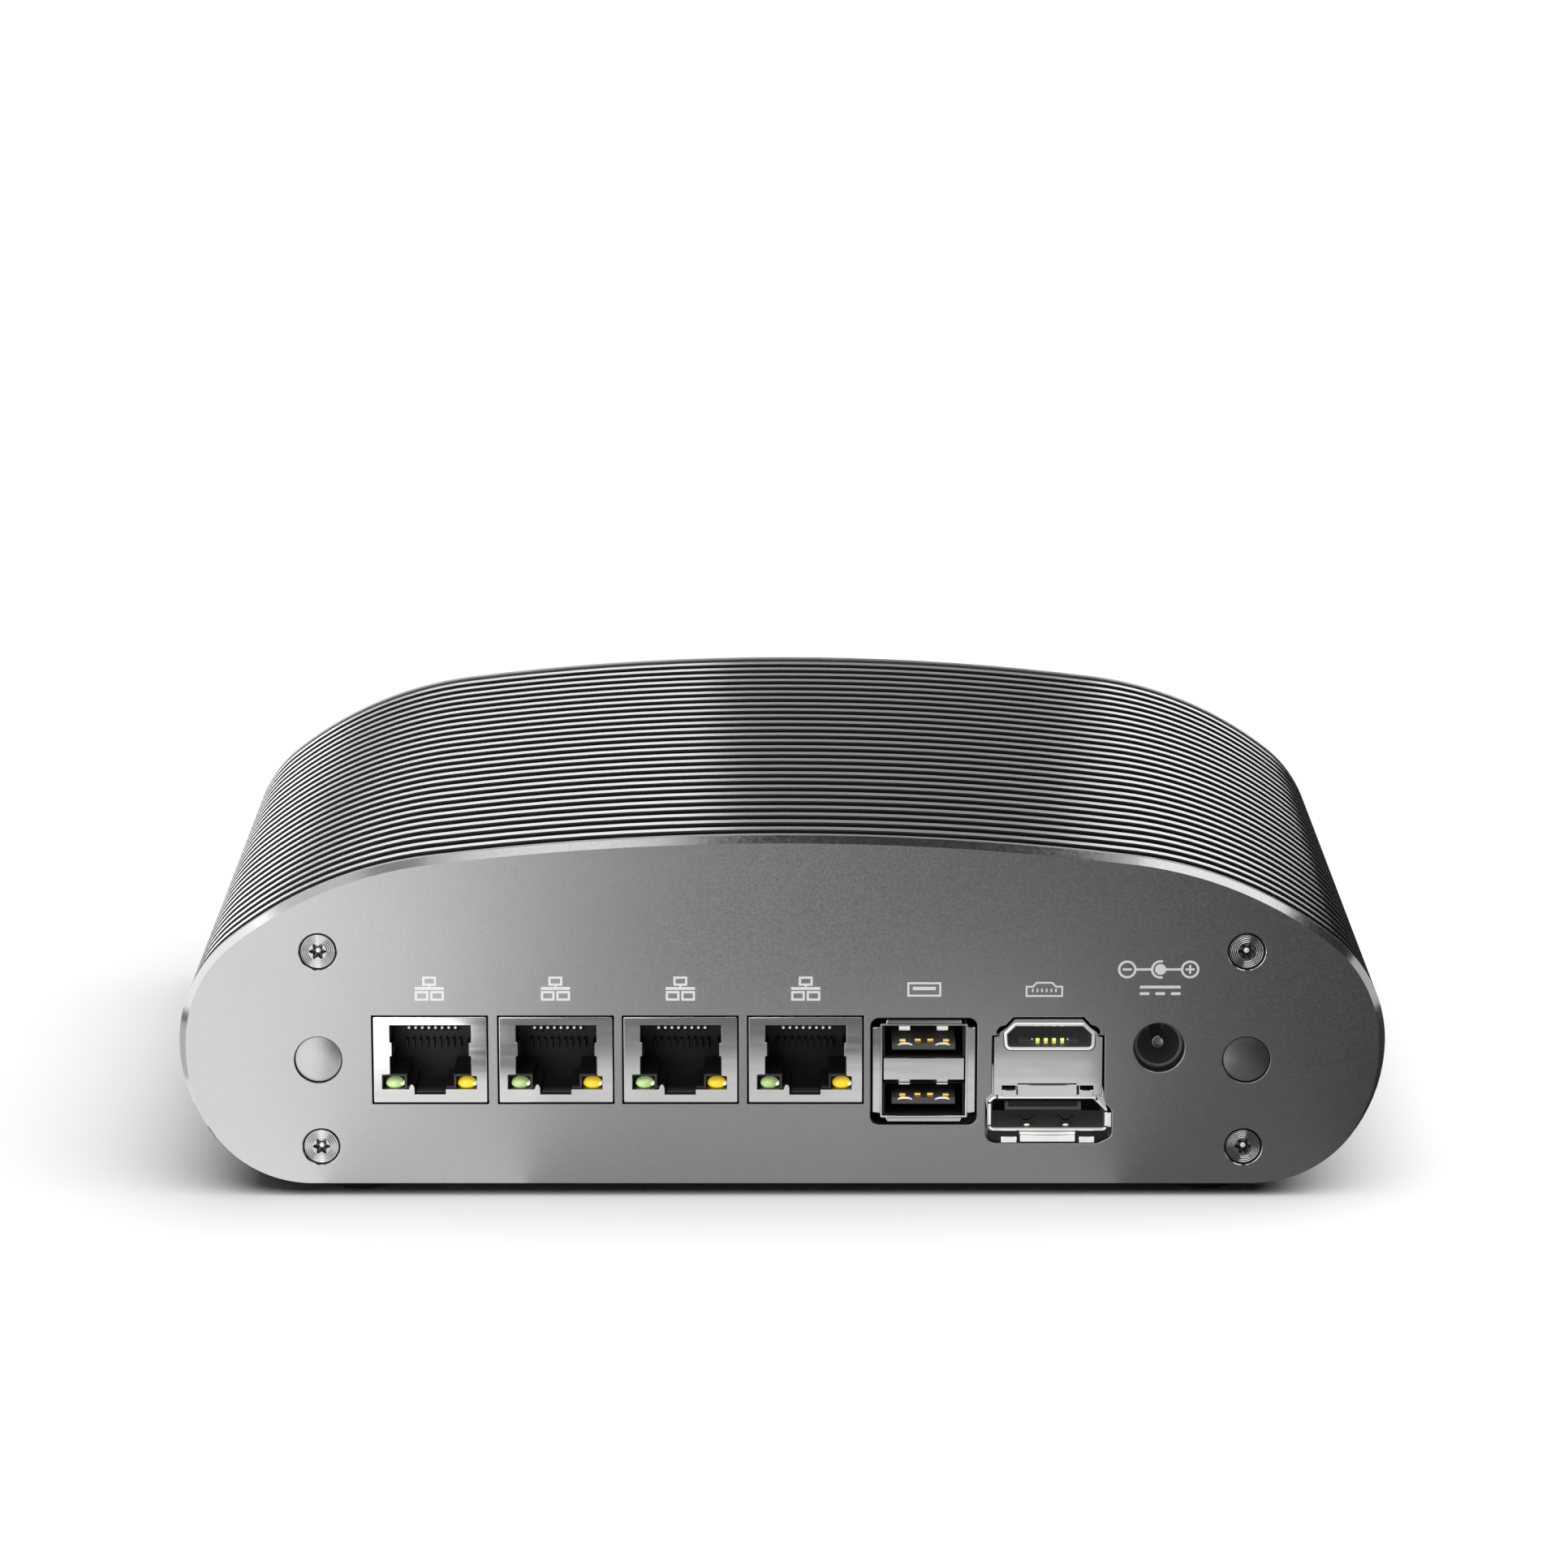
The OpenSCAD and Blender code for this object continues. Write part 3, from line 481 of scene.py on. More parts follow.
# dark plastic that glows faintly: painted light in the shaded insides of the video sockets
DIM = skin("inner_plastic_painted_glow", (0.06, 0.06, 0.061), 0.5, 0.0, (2800, 0.010), 0.15, 120, 0.08, glow=0.3)
FRAME = skin("tongue_frame", (0.13, 0.13, 0.13), 0.45, 0.0, (2800, 0.010), 0.12, 120)
# the power inlet's plastics glow faintly: painted light in its shaded face and bore
JACK_FACE = skin("jack_face_painted_glow", (0.10, 0.10, 0.102), 0.5, 0.0, (2200, 0.010), 0.10, 150, 0.06, glow=0.3)
JACK = skin("jack_plastic_painted_glow", (0.030, 0.030, 0.031), 0.35, 0.0, (2200, 0.006), 0.12, 150, 0.06, glow=0.3)
# white print that also glows: painted light on top of the print's own white
INK = skin("white_print_painted_glow", (0.80, 0.80, 0.80), 0.55, 0.0, (6000, 0.003), 0.03, 500, 0.06, glow=0.3)
RUBBER = skin("foot_rubber", (0.022, 0.022, 0.023), 0.75, 0.0, (4000, 0.03), 0.2, 400, 0.1)
GREEN_LIGHT = skin("link_lens", (0.62, 0.86, 0.36), 0.16, 0.0, (900, 0.001), 0.25, 600, 0.04,
                   glow=0.35, coat=0.6)
AMBER_LIGHT = skin("activity_lens", (0.98, 0.68, 0.04), 0.16, 0.0, (900, 0.001), 0.22, 600, 0.04,
                   glow=0.55, coat=0.6)
# a glowing white bead at a lens's end: painted highlight
LENS_HIGHLIGHT = skin("lens_painted_highlight", (0.98, 0.98, 0.78), 0.12, 0.0, (900, 0.001), 0.05, 600, 0.04, glow=0.9, coat=0.6)
CLEAR = skin("light_pipe", (0.72, 0.78, 0.80), 0.12, 0.0, (900, 0.001), 0.05, 300, 0.04,
             glow=0.05, coat=0.4, clear=0.3)
BOARD = skin("solder_mask", (0.012, 0.075, 0.035), 0.32, 0.0, (1200, 0.010), 0.35, 160, 0.08, coat=0.2)
DRIVE_BOARD = skin("blue_solder_mask", (0.012, 0.03, 0.07), 0.32, 0.0, (1200, 0.010), 0.3, 160)
EPOXY = skin("chip_epoxy", (0.018, 0.018, 0.02), 0.55, 0.0, (3500, 0.015), 0.15, 300, 0.08)
CAN = skin("drawn_can", (0.70, 0.71, 0.73), 0.28, 1.0, (1500, 0.002), 0.04, 200, 0.06)
PAD = skin("thermal_pad", (0.44, 0.47, 0.52), 0.8, 0.0, (2500, 0.02), 0.1, 200)
COPPER = skin("machined_copper", (0.78, 0.36, 0.20), 0.3, 1.0, (2200, 0.003), 0.07, 80, 0.06,
              stretch=(0.05, 1, 1))
BRASS = skin("turned_brass", (0.78, 0.55, 0.22), 0.26, 1.0, (2200, 0.002), 0.06, 300)
IVORY = skin("white_plastic", (0.72, 0.71, 0.67), 0.4, 0.0, (2500, 0.008), 0.05, 200)

# ---------------------------------------------------------------- housing

SCREW_PLACES = [(x, z) for x in (-SCREW_X, SCREW_X) for z in SCREW_Z]
QUARTERS = [(x, y) for x in (-1, 1) for y in (-1, 1)]     # signs of the four corners
FOOT_X = FEET_HIGH[0] - FOOT_R
FOOT_Y = FEET_HIGH[1] - FOOT_R


def run_out(z):
    """Share of the grooves' depth at height z: they rise to the surface above the flat bottom."""
    t = min(max((z - FOOT_H - FIN_FOOT) / FIN_RUN, 0), 1)
    return math.sqrt(1 - (1 - t) ** 2)


def fin_profile():
    """(y, depth) along the housing: crests with rounded edges and grooves with filleted floors."""
    crest, foot = 0.25, 0.3
    first = FACE + (PANEL_T + FIN_T) / 2
    points = []
    for k in range(FIN_COUNT + 1):
        a = max(first + FIN_PITCH * k, -END_Y)
        b = min(first + FIN_PITCH * (k + 1) - FIN_T, END_Y)
        into = [(a - crest + crest * sin(t), crest - crest * cos(t)) for t in (0, 30, 60, 90)]
        into += [(a + foot - foot * cos(t), FIN_DEPTH - foot + foot * sin(t)) for t in (0, 45, 90)]
        out = [(b - foot + foot * sin(t), FIN_DEPTH - foot + foot * cos(t)) for t in (0, 45, 90)]
        out += [(b + crest - crest * sin(t), crest - crest * cos(t)) for t in (90, 60, 30, 0)]
        if k == 0:
            into = [(a, FIN_DEPTH)]
        if k == FIN_COUNT:
            out = [(b, FIN_DEPTH)]
        points += into + out
    return points


def bitten(loop, centre, r, n=14, middle_z=26):
    """A closed loop around a hollow, with a round boss at centre left standing in the hollow.
    middle_z is the height of the hollow's middle."""
    inside = [math.hypot(p[0] - centre[0], p[1] - centre[1]) < r for p in loop]
    if not any(inside):
        return loop
    start = next(i for i in range(len(loop)) if inside[i] and not inside[i - 1])
    loop = loop[start:] + loop[:start]
    inside = inside[start:] + inside[:start]
    count = next((i for i in range(len(loop)) if not inside[i]), len(loop))
    kept = loop[count:]

    def crossing(out_point, in_point):
        """Angle, seen from centre, at which the line between two points meets the boss."""
        low, high = 0.0, 1.0
        for _ in range(40):
            t = (low + high) / 2
            x, z = [p + (q - p) * t - c for p, q, c in zip(out_point, in_point, centre)]
            low, high = (t, high) if math.hypot(x, z) > r else (low, t)
        return math.degrees(math.atan2(z, x))

    a = crossing(kept[-1], loop[0])
    b = crossing(kept[0], loop[count - 1])
    inward = math.degrees(math.atan2(middle_z - centre[1], -centre[0]))
    sweep = (b - a) % 360
    if not (inward - a) % 360 < sweep:
        sweep -= 360
    return kept + bow(r, a, a + sweep, n, centre)


def housing():
    s = Shape(from_below(z=FOOT_H))
    profile = fin_profile()
    rows = [[(x, y, z) for x, z in section(lambda h, d=d: d * run_out(h))] for y, d in profile]
    # faces down in the grooves take the dark groove material: painted shade between the fins
    for a, b, (_, depth_a), (_, depth_b) in zip(rows, rows[1:], profile, profile[1:]):
        s.strip([a, b], 2 if min(depth_a, depth_b) > 0.03 else 0, closed=False)

    # the flat bottom, with the seat of the cover and of the four feet
    edge = [row[0] for row in rows] + [row[-1] for row in rows][::-1]
    play, lip, foot_seat, ledge = 0.1, 0.15, 0.8, 6
    half_x, half_y = COVER_HIGH[0] + play, COVER_HIGH[1] + play
    seat = corners(-half_x, -half_y, half_x, half_y)
    inner = corners(-half_x + ledge, -half_y + ledge, half_x - ledge, half_y - ledge)
    wide = [grow(seat, lip)]
    for sx, sy in QUARTERS:
        middle = (sx * FOOT_X, sy * FOOT_Y)
        pit = circle(FOOT_R + play, 56, middle)
        wide.append(circle(FOOT_R + play + lip, 56, middle))
        s.wall([(wide[-1], 0), (pit, lip), (pit, foot_seat)], 1)
        s.face(foot_seat, [pit], 1)
    s.cap([edge] + [s.spread(loop, 0) for loop in wide], 1)
    s.wall([(wide[0], 0), (seat, lip), (seat, COVER_T)], 1)
    s.face(COVER_T, [seat, inner], 1)

    # the cavity, its opening above the cover, and the screw channels along its corners
    hollow = section(WALL, (5, 8, 8, 6, 8))
    floor_t = hollow[0][1] - FOOT_H
    s.wall([(inner, COVER_T), (inner, floor_t)], 1)
    for centre in SCREW_PLACES:
        hollow = bitten(hollow, centre, BOSS_R)
    lowest = min(range(len(hollow)), key=lambda i: (round(hollow[i][1], 4), hollow[i][0]))
    hollow = hollow[lowest:] + hollow[:lowest]
    if abs(hollow[1][1] - hollow[0][1]) < 1e-3:
        hollow = hollow[1:] + hollow[:1]
    ends = [[(x, y, z) for x, z in hollow] for y in (-END_Y, END_Y)]
    s.strip(ends, 1, closed=False)
    floor = [ends[0][0], ends[0][-1], ends[1][-1], ends[1][0]]
    s.cap([floor, s.spread(inner, floor_t)], 1)
    drills = [circle(DRILL_R, 24, centre) for centre in SCREW_PLACES]
    for row, ring, y, way in ((rows[0], ends[0], -END_Y, 1), (rows[-1], ends[1], END_Y, -1)):
        near, far = [[[(x, y + way * t, z) for x, z in loop] for loop in drills] for t in (0, DRILL_DEPTH)]
        s.cap([row, ring] + near, 1)
        for pair in zip(near, far):
            s.strip(pair, 1)
            s.cap([pair[1]], 1)

    # the block that meets the heat spreader, and the four posts that carry the board
    low, high = box_mm("heat_spreader")
    s.at(from_front(y=(low[1] + high[1]) / 2)).bar(-32, high[2], 32, TOP - WALL + 0.6, -28, 28, 0.4, 1)
    board_top = box_mm("main_board")[1][2]
    post_x, post_y, post_r, post_h = 68, 48, 3.2, 13.2
    for sx, sy in QUARTERS:
        s.at(from_below(sx * post_x, sy * post_y, board_top)).lathe([
            (0, 5.2), (DRILL_R, 5.2), (DRILL_R, 0.2), (DRILL_R + 0.2, 0), (post_r - 0.2, 0), (post_r, 0.2),
            (post_r, post_h), (0, post_h)], 32, 1)
    piece("finned_housing", s, [FINNED, BLASTED, GROOVE_SHADE], "housing", 40)


housing()

# ---------------------------------------------------------------- end panels

def hole(loop, rim=0.12, depth=PANEL_T):
    """Steps of a straight hole with a chamfered rim."""
    return [(grow(loop, rim), 0), (loop, rim), (loop, depth)]


def countersink(x, z, depth=PANEL_T):
    """Steps of a screw's hole."""
    steps = ((SCREW_R + 0.25, 0), (SCREW_R + 0.15, 0.1), (SCREW_R + 0.15, 0.2), (1.6, 1.75), (1.6, depth))
    return [(circle(r, 64, (x, z)), t) for r, t in steps]


VIDEO_CUT = fillet(
    [(-9.25, 8.2), (7.4, 8.2), (9.5, 9.2), (9.5, 13.2), (8.35, 14.6), (8.3, 24.8), (7.66, 24.8),
     (7.62, 25.6), (7.15, 26.12), (6.3, 26.42), (5.2, 27.6), (-5.2, 27.6), (-6.3, 26.42), (-7.15, 26.12),
     (-7.62, 25.6), (-7.66, 24.8), (-8.3, 24.8), (-8.3, 15.9), (-9.25, 15)],
    [1.6, 0.6, 1.2, 0.7, 0.5, 0.1, 0.1, 0.3, 0.3, 0.3, 0.4, 0.4, 0.3, 0.3, 0.3, 0.1, 0.1, 0.1, 0.5], 5)


def build_panel(name, place, depth, holes, node):
    """Face, polished bevel, plain side, back and holes of one end panel as one closed solid."""
    s = Shape(place)
    rim = 0.1
    face, wide, back = section(BEVEL, less_below=BEVEL - LOW_BEVEL), section(0), section(rim)
    s.face(0, [face] + [h[0][0] for h in holes])
    s.wall([(face, 0), (wide, BEVEL)], 1)
    s.wall([(wide, BEVEL), (wide, depth - rim), (back, depth)])
    s.face(depth, [back] + [h[-1][0] for h in holes])
    for h in holes:
        steps = h[:-1] + [(h[-1][0], depth)]
        s.wall(steps[:2], 1 if len(h) > 3 else 0)
        # the walls of the holes are near-black: painted shade
        s.wall(steps[1:], 2)
    piece(name, s, [BLASTED, POLISHED, HOLE_SHADE], node, 30)


def rear_holes():
    holes = [countersink(x, z) for x, z in SCREW_PLACES]
    for x in LAN_X:
        wide = LAN_HALF + SLIT
        holes.append(hole(rect(x - wide, LAN_Z0 - SLIT, x + wide, LAN_Z1 + SLIT, 0.12, 2), 0.06))
    holes.append(hole(rect(USB_X - 7.88, 11.05, USB_X + 7.88, 27.45, 1.3, 8)))
    holes.append(hole(moved(VIDEO_CUT, VIDEO_X, 0)))
    holes.append(hole(circle(3.75, 96, (DC_X, DC_Z)), 0.15))
    for sx in (-1, 1):
        holes.append(hole(circle(PLUG_R + 0.05, 96, (sx * PLUG_X, PLUG_Z)), 0.08))
    return holes


def front_holes():
    holes = [countersink(x, z) for x, z in SCREW_PLACES]
    holes.append(hole(circle(BUTTON_R + 0.2, 96, (-BUTTON_X, BUTTON_Z)), 0.25))
    for x in PIPE_X:
        holes.append(hole(circle(1.1, 32, (-x, BUTTON_Z)), 0.12))
    return holes


build_panel("socket_panel", from_front(y=FACE + PRINT_T), PANEL_T - PRINT_T, rear_holes(), "rear_panel")
build_panel("button_panel", from_back(y=BACK), PANEL_T, front_holes(), "front_panel")

# ---------------------------------------------------------------- screws, plugs, feet and cover

def star(a, r_in=0.80, r_out=1.26):
    return r_in + (r_out - r_in) * (0.5 + 0.5 * cos(6 * a)) ** 1.5


def flat_screw(s, place, length, n=72):
    """Countersunk screw with a dimpled six-lobe recess and turning marks on its head."""
    def ring(radius, t):
        """radius is a number or a function of the angle."""
        reach = radius if callable(radius) else (lambda a: radius)
        return [place(reach(a) * cos(a), reach(a) * sin(a), t) for a in [360 * k / n for k in range(n)]]

    def rings(*steps):
        return [ring(r, t) for r, t in steps]

    def edge(a):
        return star(a) + 0.05

    # the dimple glows: a painted highlight
    dimple = rings((1e-6, 0.55), (0.17, 0.56), (0.32, 0.62), (0.40, 0.78))
    s.strip(dimple, 2)
    # the recess floor and walls in darker steel: painted shade
    floor = ring(lambda a: 0.93 * star(a), 0.92)
    s.strip([dimple[-1], floor], 1)
    s.strip([floor] + rings((star, 0.88), (star, 0.08)), 1)
    head = rings((star, 0.08), (edge, 0.01))
    flat, marks_from, marks_to = 0.004, 1.32, 2.43
    for f in (0.4, 0.75):
        head.append(ring(lambda a, f=f: edge(a) * (1 - f) + marks_from * f, flat))
    marks, per_mark, mark_depth = 4, 8, 0.034
    for k in range(marks * per_mark + 1):
        r = marks_from + (marks_to - marks_from) * k / (marks * per_mark)
        head.append(ring(r, flat + mark_depth * (1 - cos(360 * k / per_mark))))
    head += rings((2.47, 0.0), (2.53, 0.03), (2.57, 0.12), (SCREW_R, 0.2))
    s.strip(head)
    shank, root, pitch = 1.5, 1.24, 0.5
    body = [(SCREW_R, 0.2), (shank, 1.5)]
    t = 1.6
    while t < length - 0.9:
        body += [(shank, t), (root, t + pitch / 2)]
        t += pitch
    s.strip(rings(*body, (shank, t), (shank, length - 0.35), (1.15, length), (1e-6, length)))


def screw_sets():
    skins = [STEEL, STEEL_SHADE, PAINTED_GLINT]
    rear = Shape()
    back = Shape()
    for x, z in SCREW_PLACES:
        flat_screw(rear, from_front(x, z, FACE + SCREW_SUNK), 11)
        flat_screw(back, from_back(x, z, BACK - SCREW_SUNK), 11)
    piece("socket_panel_screws", rear, skins, "rear_panel_screws", 50)
    piece("button_panel_screws", back, skins, "front_panel_screws", 50)
    under = Shape()
    high = box_mm("bottom_cover_screws")[1]
    for sx, sy in QUARTERS:
        flat_screw(under, from_below(sx * (high[0] - SCREW_R), sy * (high[1] - SCREW_R), FOOT_H + 0.1), 5)
    piece("cover_screws", under, skins, "bottom_cover_screws", 50)


screw_sets()


def aerial_plug(name, x, node):
    s = Shape(from_front(x, PLUG_Z, FACE))
    rim = 0.42
    dome = [(PLUG_R * 0.97 * k / 8, 0.02 + (rim - 0.02) * (k / 8) ** 2) for k in range(9)]
    r = PLUG_R
    s.lathe(dome + [
        (r, rim + 0.14), (r, 2.25), (r + 0.85, 2.25), (r + 0.9, 2.3), (r + 0.9, 3.15), (r + 0.8, 3.2),
        (r - 0.9, 3.2), (r - 0.9, 6.0), (r - 1.1, 6.2), (0, 6.2)], 96)
    piece(name, s, [SATIN], node, 30)


aerial_plug("aerial_blank_left", -PLUG_X, "aerial_plug_left")
aerial_plug("aerial_blank_right", PLUG_X, "aerial_plug_right")


def feet():
    s = Shape()
    r = FOOT_R
    profile = [(0, 0.25), (2.1, 0.25), (2.3, 0.05), (2.5, 0.0), (3.4, 0.0), (3.6, 0.15), (3.9, 0.15),
               (4.1, 0.0), (4.7, 0.0), (r - 0.4, 0.08), (r - 0.15, 0.25), (r, 0.6), (r, 2.45),
               (r - 0.1, 2.5), (0, 2.5)]
    for sx, sy in QUARTERS:
        s.at(from_below(sx * FOOT_X, sy * FOOT_Y)).lathe(profile)
    piece("feet", s, [RUBBER], "rubber_feet", 40)


feet()


def bottom_cover():
    edge = corners(COVER_LOW[0], COVER_LOW[1], COVER_HIGH[0], COVER_HIGH[1])
    outer = [(grow(edge, -0.3), 0), (edge, 0.3), (edge, COVER_T - 0.2), (grow(edge, -0.2), COVER_T)]
    holes = []
    bore, boss_r, tall = BRACKET_HOLE_R, 4, COVER_T + 4
    bracket = ((bore + 0.25, 0), (bore, 0.25), (bore, tall), (boss_r - 0.2, tall), (boss_r, tall - 0.2),
               (boss_r, COVER_T))
    for sx, sy in QUARTERS:
        x, y = sx * (COVER_HIGH[0] - 3), sy * (COVER_HIGH[1] - 3)
        holes.append([(loop, t + 0.1 if t else 0) for loop, t in countersink(x, y, COVER_T - 0.1)])
        holes.append([(circle(r, 40, (sx * BRACKET_HALF, sy * BRACKET_HALF)), t) for r, t in bracket])
    s = Shape(from_below(z=FOOT_H))
    # hole walls in the near-black material: painted shade
    s.plate(outer, holes, (0, 1, 2))
    piece("base_cover", s, [BLASTED, POLISHED, HOLE_SHADE], "bottom_cover", 30)


bottom_cover()

# ---------------------------------------------------------------- network sockets

WINDOW = [
    (-2.36, 15.71), (2.22, 15.71), (2.22, 16.5), (6.82, 16.5), (6.82, 18.5), (6.04, 18.55),
    (6.04, 21.5), (5.78, 21.62), (5.78, 23.58), (6.04, 23.7), (6.04, 26.32), (-5.96, 26.32),
    (-5.96, 23.75), (-5.7, 23.62), (-5.7, 21.62), (-5.96, 21.5), (-5.96, 18.8), (-7.15, 18.72),
    (-7.15, 16.5), (-3.2, 16.5), (-2.95, 17.2), (-2.62, 17.22), (-2.36, 16.7)]
PLUG_WAY = [
    (-2.25, 15.85), (2.25, 15.85), (2.25, 17.05), (3.4, 17.05), (3.4, 18.85), (5.85, 18.85),
    (5.85, 26.15), (-5.85, 26.15), (-5.85, 18.85), (-3.4, 18.85), (-3.4, 17.05), (-2.25, 17.05)]
LIGHT_HOLES = (rect(-7.05, 16.55, -3.85, 18.45), rect(3.75, 16.55, 6.95, 18.45))
LIGHT_Z = 17.15
LENS_HIGHLIGHT_OFFSET = 1.16        # distance from a lens's middle to the small glowing bead at its end, a painted highlight
CONTACT_PITCH = 0.98


def lan_shield(i, x):
    """Sheet metal box, open at the back, with the window in its front."""
    s = Shape(from_front(x, 0, SOCKET_Y))
    depth = LAN_Y1 - SOCKET_Y
    outer = rect(-LAN_HALF, LAN_Z0, LAN_HALF, LAN_Z1, 0.15, 3)
    inner, front, wide = grow(outer, -SHEET), grow(outer, -0.1), grow(WINDOW, 0.05)
    s.face(0, [front, wide])
    s.wall([(front, 0), (grow(outer, -0.03), 0.03), (outer, 0.1), (outer, depth), (inner, depth),
            (inner, SHEET)])
    s.wall([(wide, 0), (WINDOW, 0.05), (WINDOW, SHEET)], 1)
    s.face(SHEET, [inner, WINDOW])
    # spring leaves along both sides of the window, bent inwards
    for side, edge in ((-1, -5.75), (1, 5.8)):
        leaf = []
        for t, bend in ((0.12, 0.0), (1.2, 0.30), (2.6, 0.34), (4.4, 0.0)):
            u = edge - side * bend
            leaf.append((corners(u - 0.07, 21.6, u + 0.07, 23.6), t))
        s.wall(leaf)
        s.face(leaf[0][1], [leaf[0][0]], 1)
        s.face(leaf[-1][1], [leaf[-1][0]])
    piece(f"network_shield_{i}", s, [NICKEL, NICKEL_CUT], f"lan_shield_{i}", 30)


def lan_insert(i, x):
    """Plastic body with the way of the plug and the pockets of the two lights."""
    s = Shape(from_front(x, 0, SOCKET_Y + SHEET))
    depth = LAN_Y1 - SOCKET_Y - SHEET
    outer = rect(-LAN_HALF + 0.32, LAN_Z0 + 0.32, LAN_HALF - 0.32, LAN_Z1 - 0.05)
    way = [(grow(PLUG_WAY, 0.08), 0), (PLUG_WAY, 0.15), (PLUG_WAY, 9.0), None]
    pockets = [[(grow(p, 0.03), 0), (p, 0.1), (p, 2.8), None] for p in LIGHT_HOLES]
    s.plate([(outer, 0), (outer, depth)], [way] + pockets)
    s.at(from_front(x, 0, SOCKET_Y))
    # raised frames beside and above the two pockets
    for bar in ((-3.83, 16.6, -3.47, 18.85), (-5.85, 18.5, -3.85, 18.82), (3.47, 16.6, 3.73, 18.85),
                (3.75, 18.5, 5.85, 18.82)):
        s.bar(*bar, 0.02, 0.6, 0.05, 1)
    # comb that keeps the contacts apart, and the step at the mouth of the latch
    for k in range(9):
        u = CONTACT_PITCH * (k - 4)
        s.bar(u - 0.16, 20.4, u + 0.16, 21.9, 8.2, 9.2, 0.04)
    s.bar(-2.1, 15.9, 2.1, 16.15, 0.35, 2.2, 0.08, 1)
    piece(f"network_insert_{i}", s, [BLACK, GREY_PLASTIC], f"lan_insert_{i}", 30)


def lan_contacts(i, x):
    """Eight springs, each with a bead at its front end that glows as a painted highlight."""
    s = Shape()
    bead = [(0, 0), (0.09, 0.02), (0.16, 0.08), (0.2, 0.18), (0.21, 0.3), (0.16, 0.42), (0, 0.46)]
    path = [(3.4, 25.0), (3.75, 24.8), (4.1, 24.66), (4.6, 24.72), (5.6, 24.5), (8.0, 23.5), (9.2, 23.0)]
    for k in range(8):
        u = 0.15 + CONTACT_PITCH * (k - 3.5)
        s.at(from_front(x + u, 25.05, SOCKET_Y + 3.1)).lathe(bead, 20, 1)
        s.at(from_front(x, 0, SOCKET_Y)).wire(u, path, 0.18, 0.12)
    piece(f"network_contacts_{i}", s, [GOLD, PAINTED_GLINT], f"lan_contacts_{i}", 60)


def lens(s, x, z, half_w, half_h, y, bulge, n=40, rows=10, skin=0):
    """A light's lens: an oval dome on a short body that runs back into its pocket."""
    rings = []
    for j in range(rows + 1):
        a = 90 * j / rows
        rings.append([(x + half_w * sin(a) * cos(t) * (1 - 0.12 * abs(sin(t)) * abs(cos(t))),
                       y + bulge * (1 - cos(a)),
                       z + half_h * sin(a) * sin(t)) for t in [360 * k / n for k in range(n)]])
    back = [(px, y + bulge + 1.0, pz) for px, _, pz in rings[-1]]
    s.strip([[(x, y, z)] * n] + rings[1:] + [back], skin)
    s.cap([back], skin)


def lan_lights():
    green, amber = Shape(), Shape()
    for x in LAN_X:
        for s, u, half_w, half_h in ((green, -5.33, 1.33, 0.77), (amber, 5.33, 1.36, 0.78)):
            lens(s, x + u, LIGHT_Z, half_w, half_h, SOCKET_Y + 0.35, 0.8)
            # the glowing bead at the lens's end: a painted highlight
            lens(s, x + u + LENS_HIGHLIGHT_OFFSET, LIGHT_Z, 0.26, 0.24, SOCKET_Y + 0.45, 0.3, 20, 6, 1)
    piece("link_lenses", green, [GREEN_LIGHT, LENS_HIGHLIGHT], "link_leds", 40)
    piece("activity_lenses", amber, [AMBER_LIGHT, LENS_HIGHLIGHT], "activity_leds", 40)


for number, middle in enumerate(LAN_X, 1):
    lan_shield(number, middle)
    lan_insert(number, middle)
    lan_contacts(number, middle)
lan_lights()

# ---------------------------------------------------------------- USB sockets

def shell_feet(s, x, reach, half_w, z0, z1, depths):
    """Feet of a socket's shell that run up to the board."""
    s.at(from_front(x, 0, FACE))
    for t in depths:
        for u in (-reach, reach):
            s.bar(u - half_w, z0, u + half_w, z1, t, t + 2, 0.05)


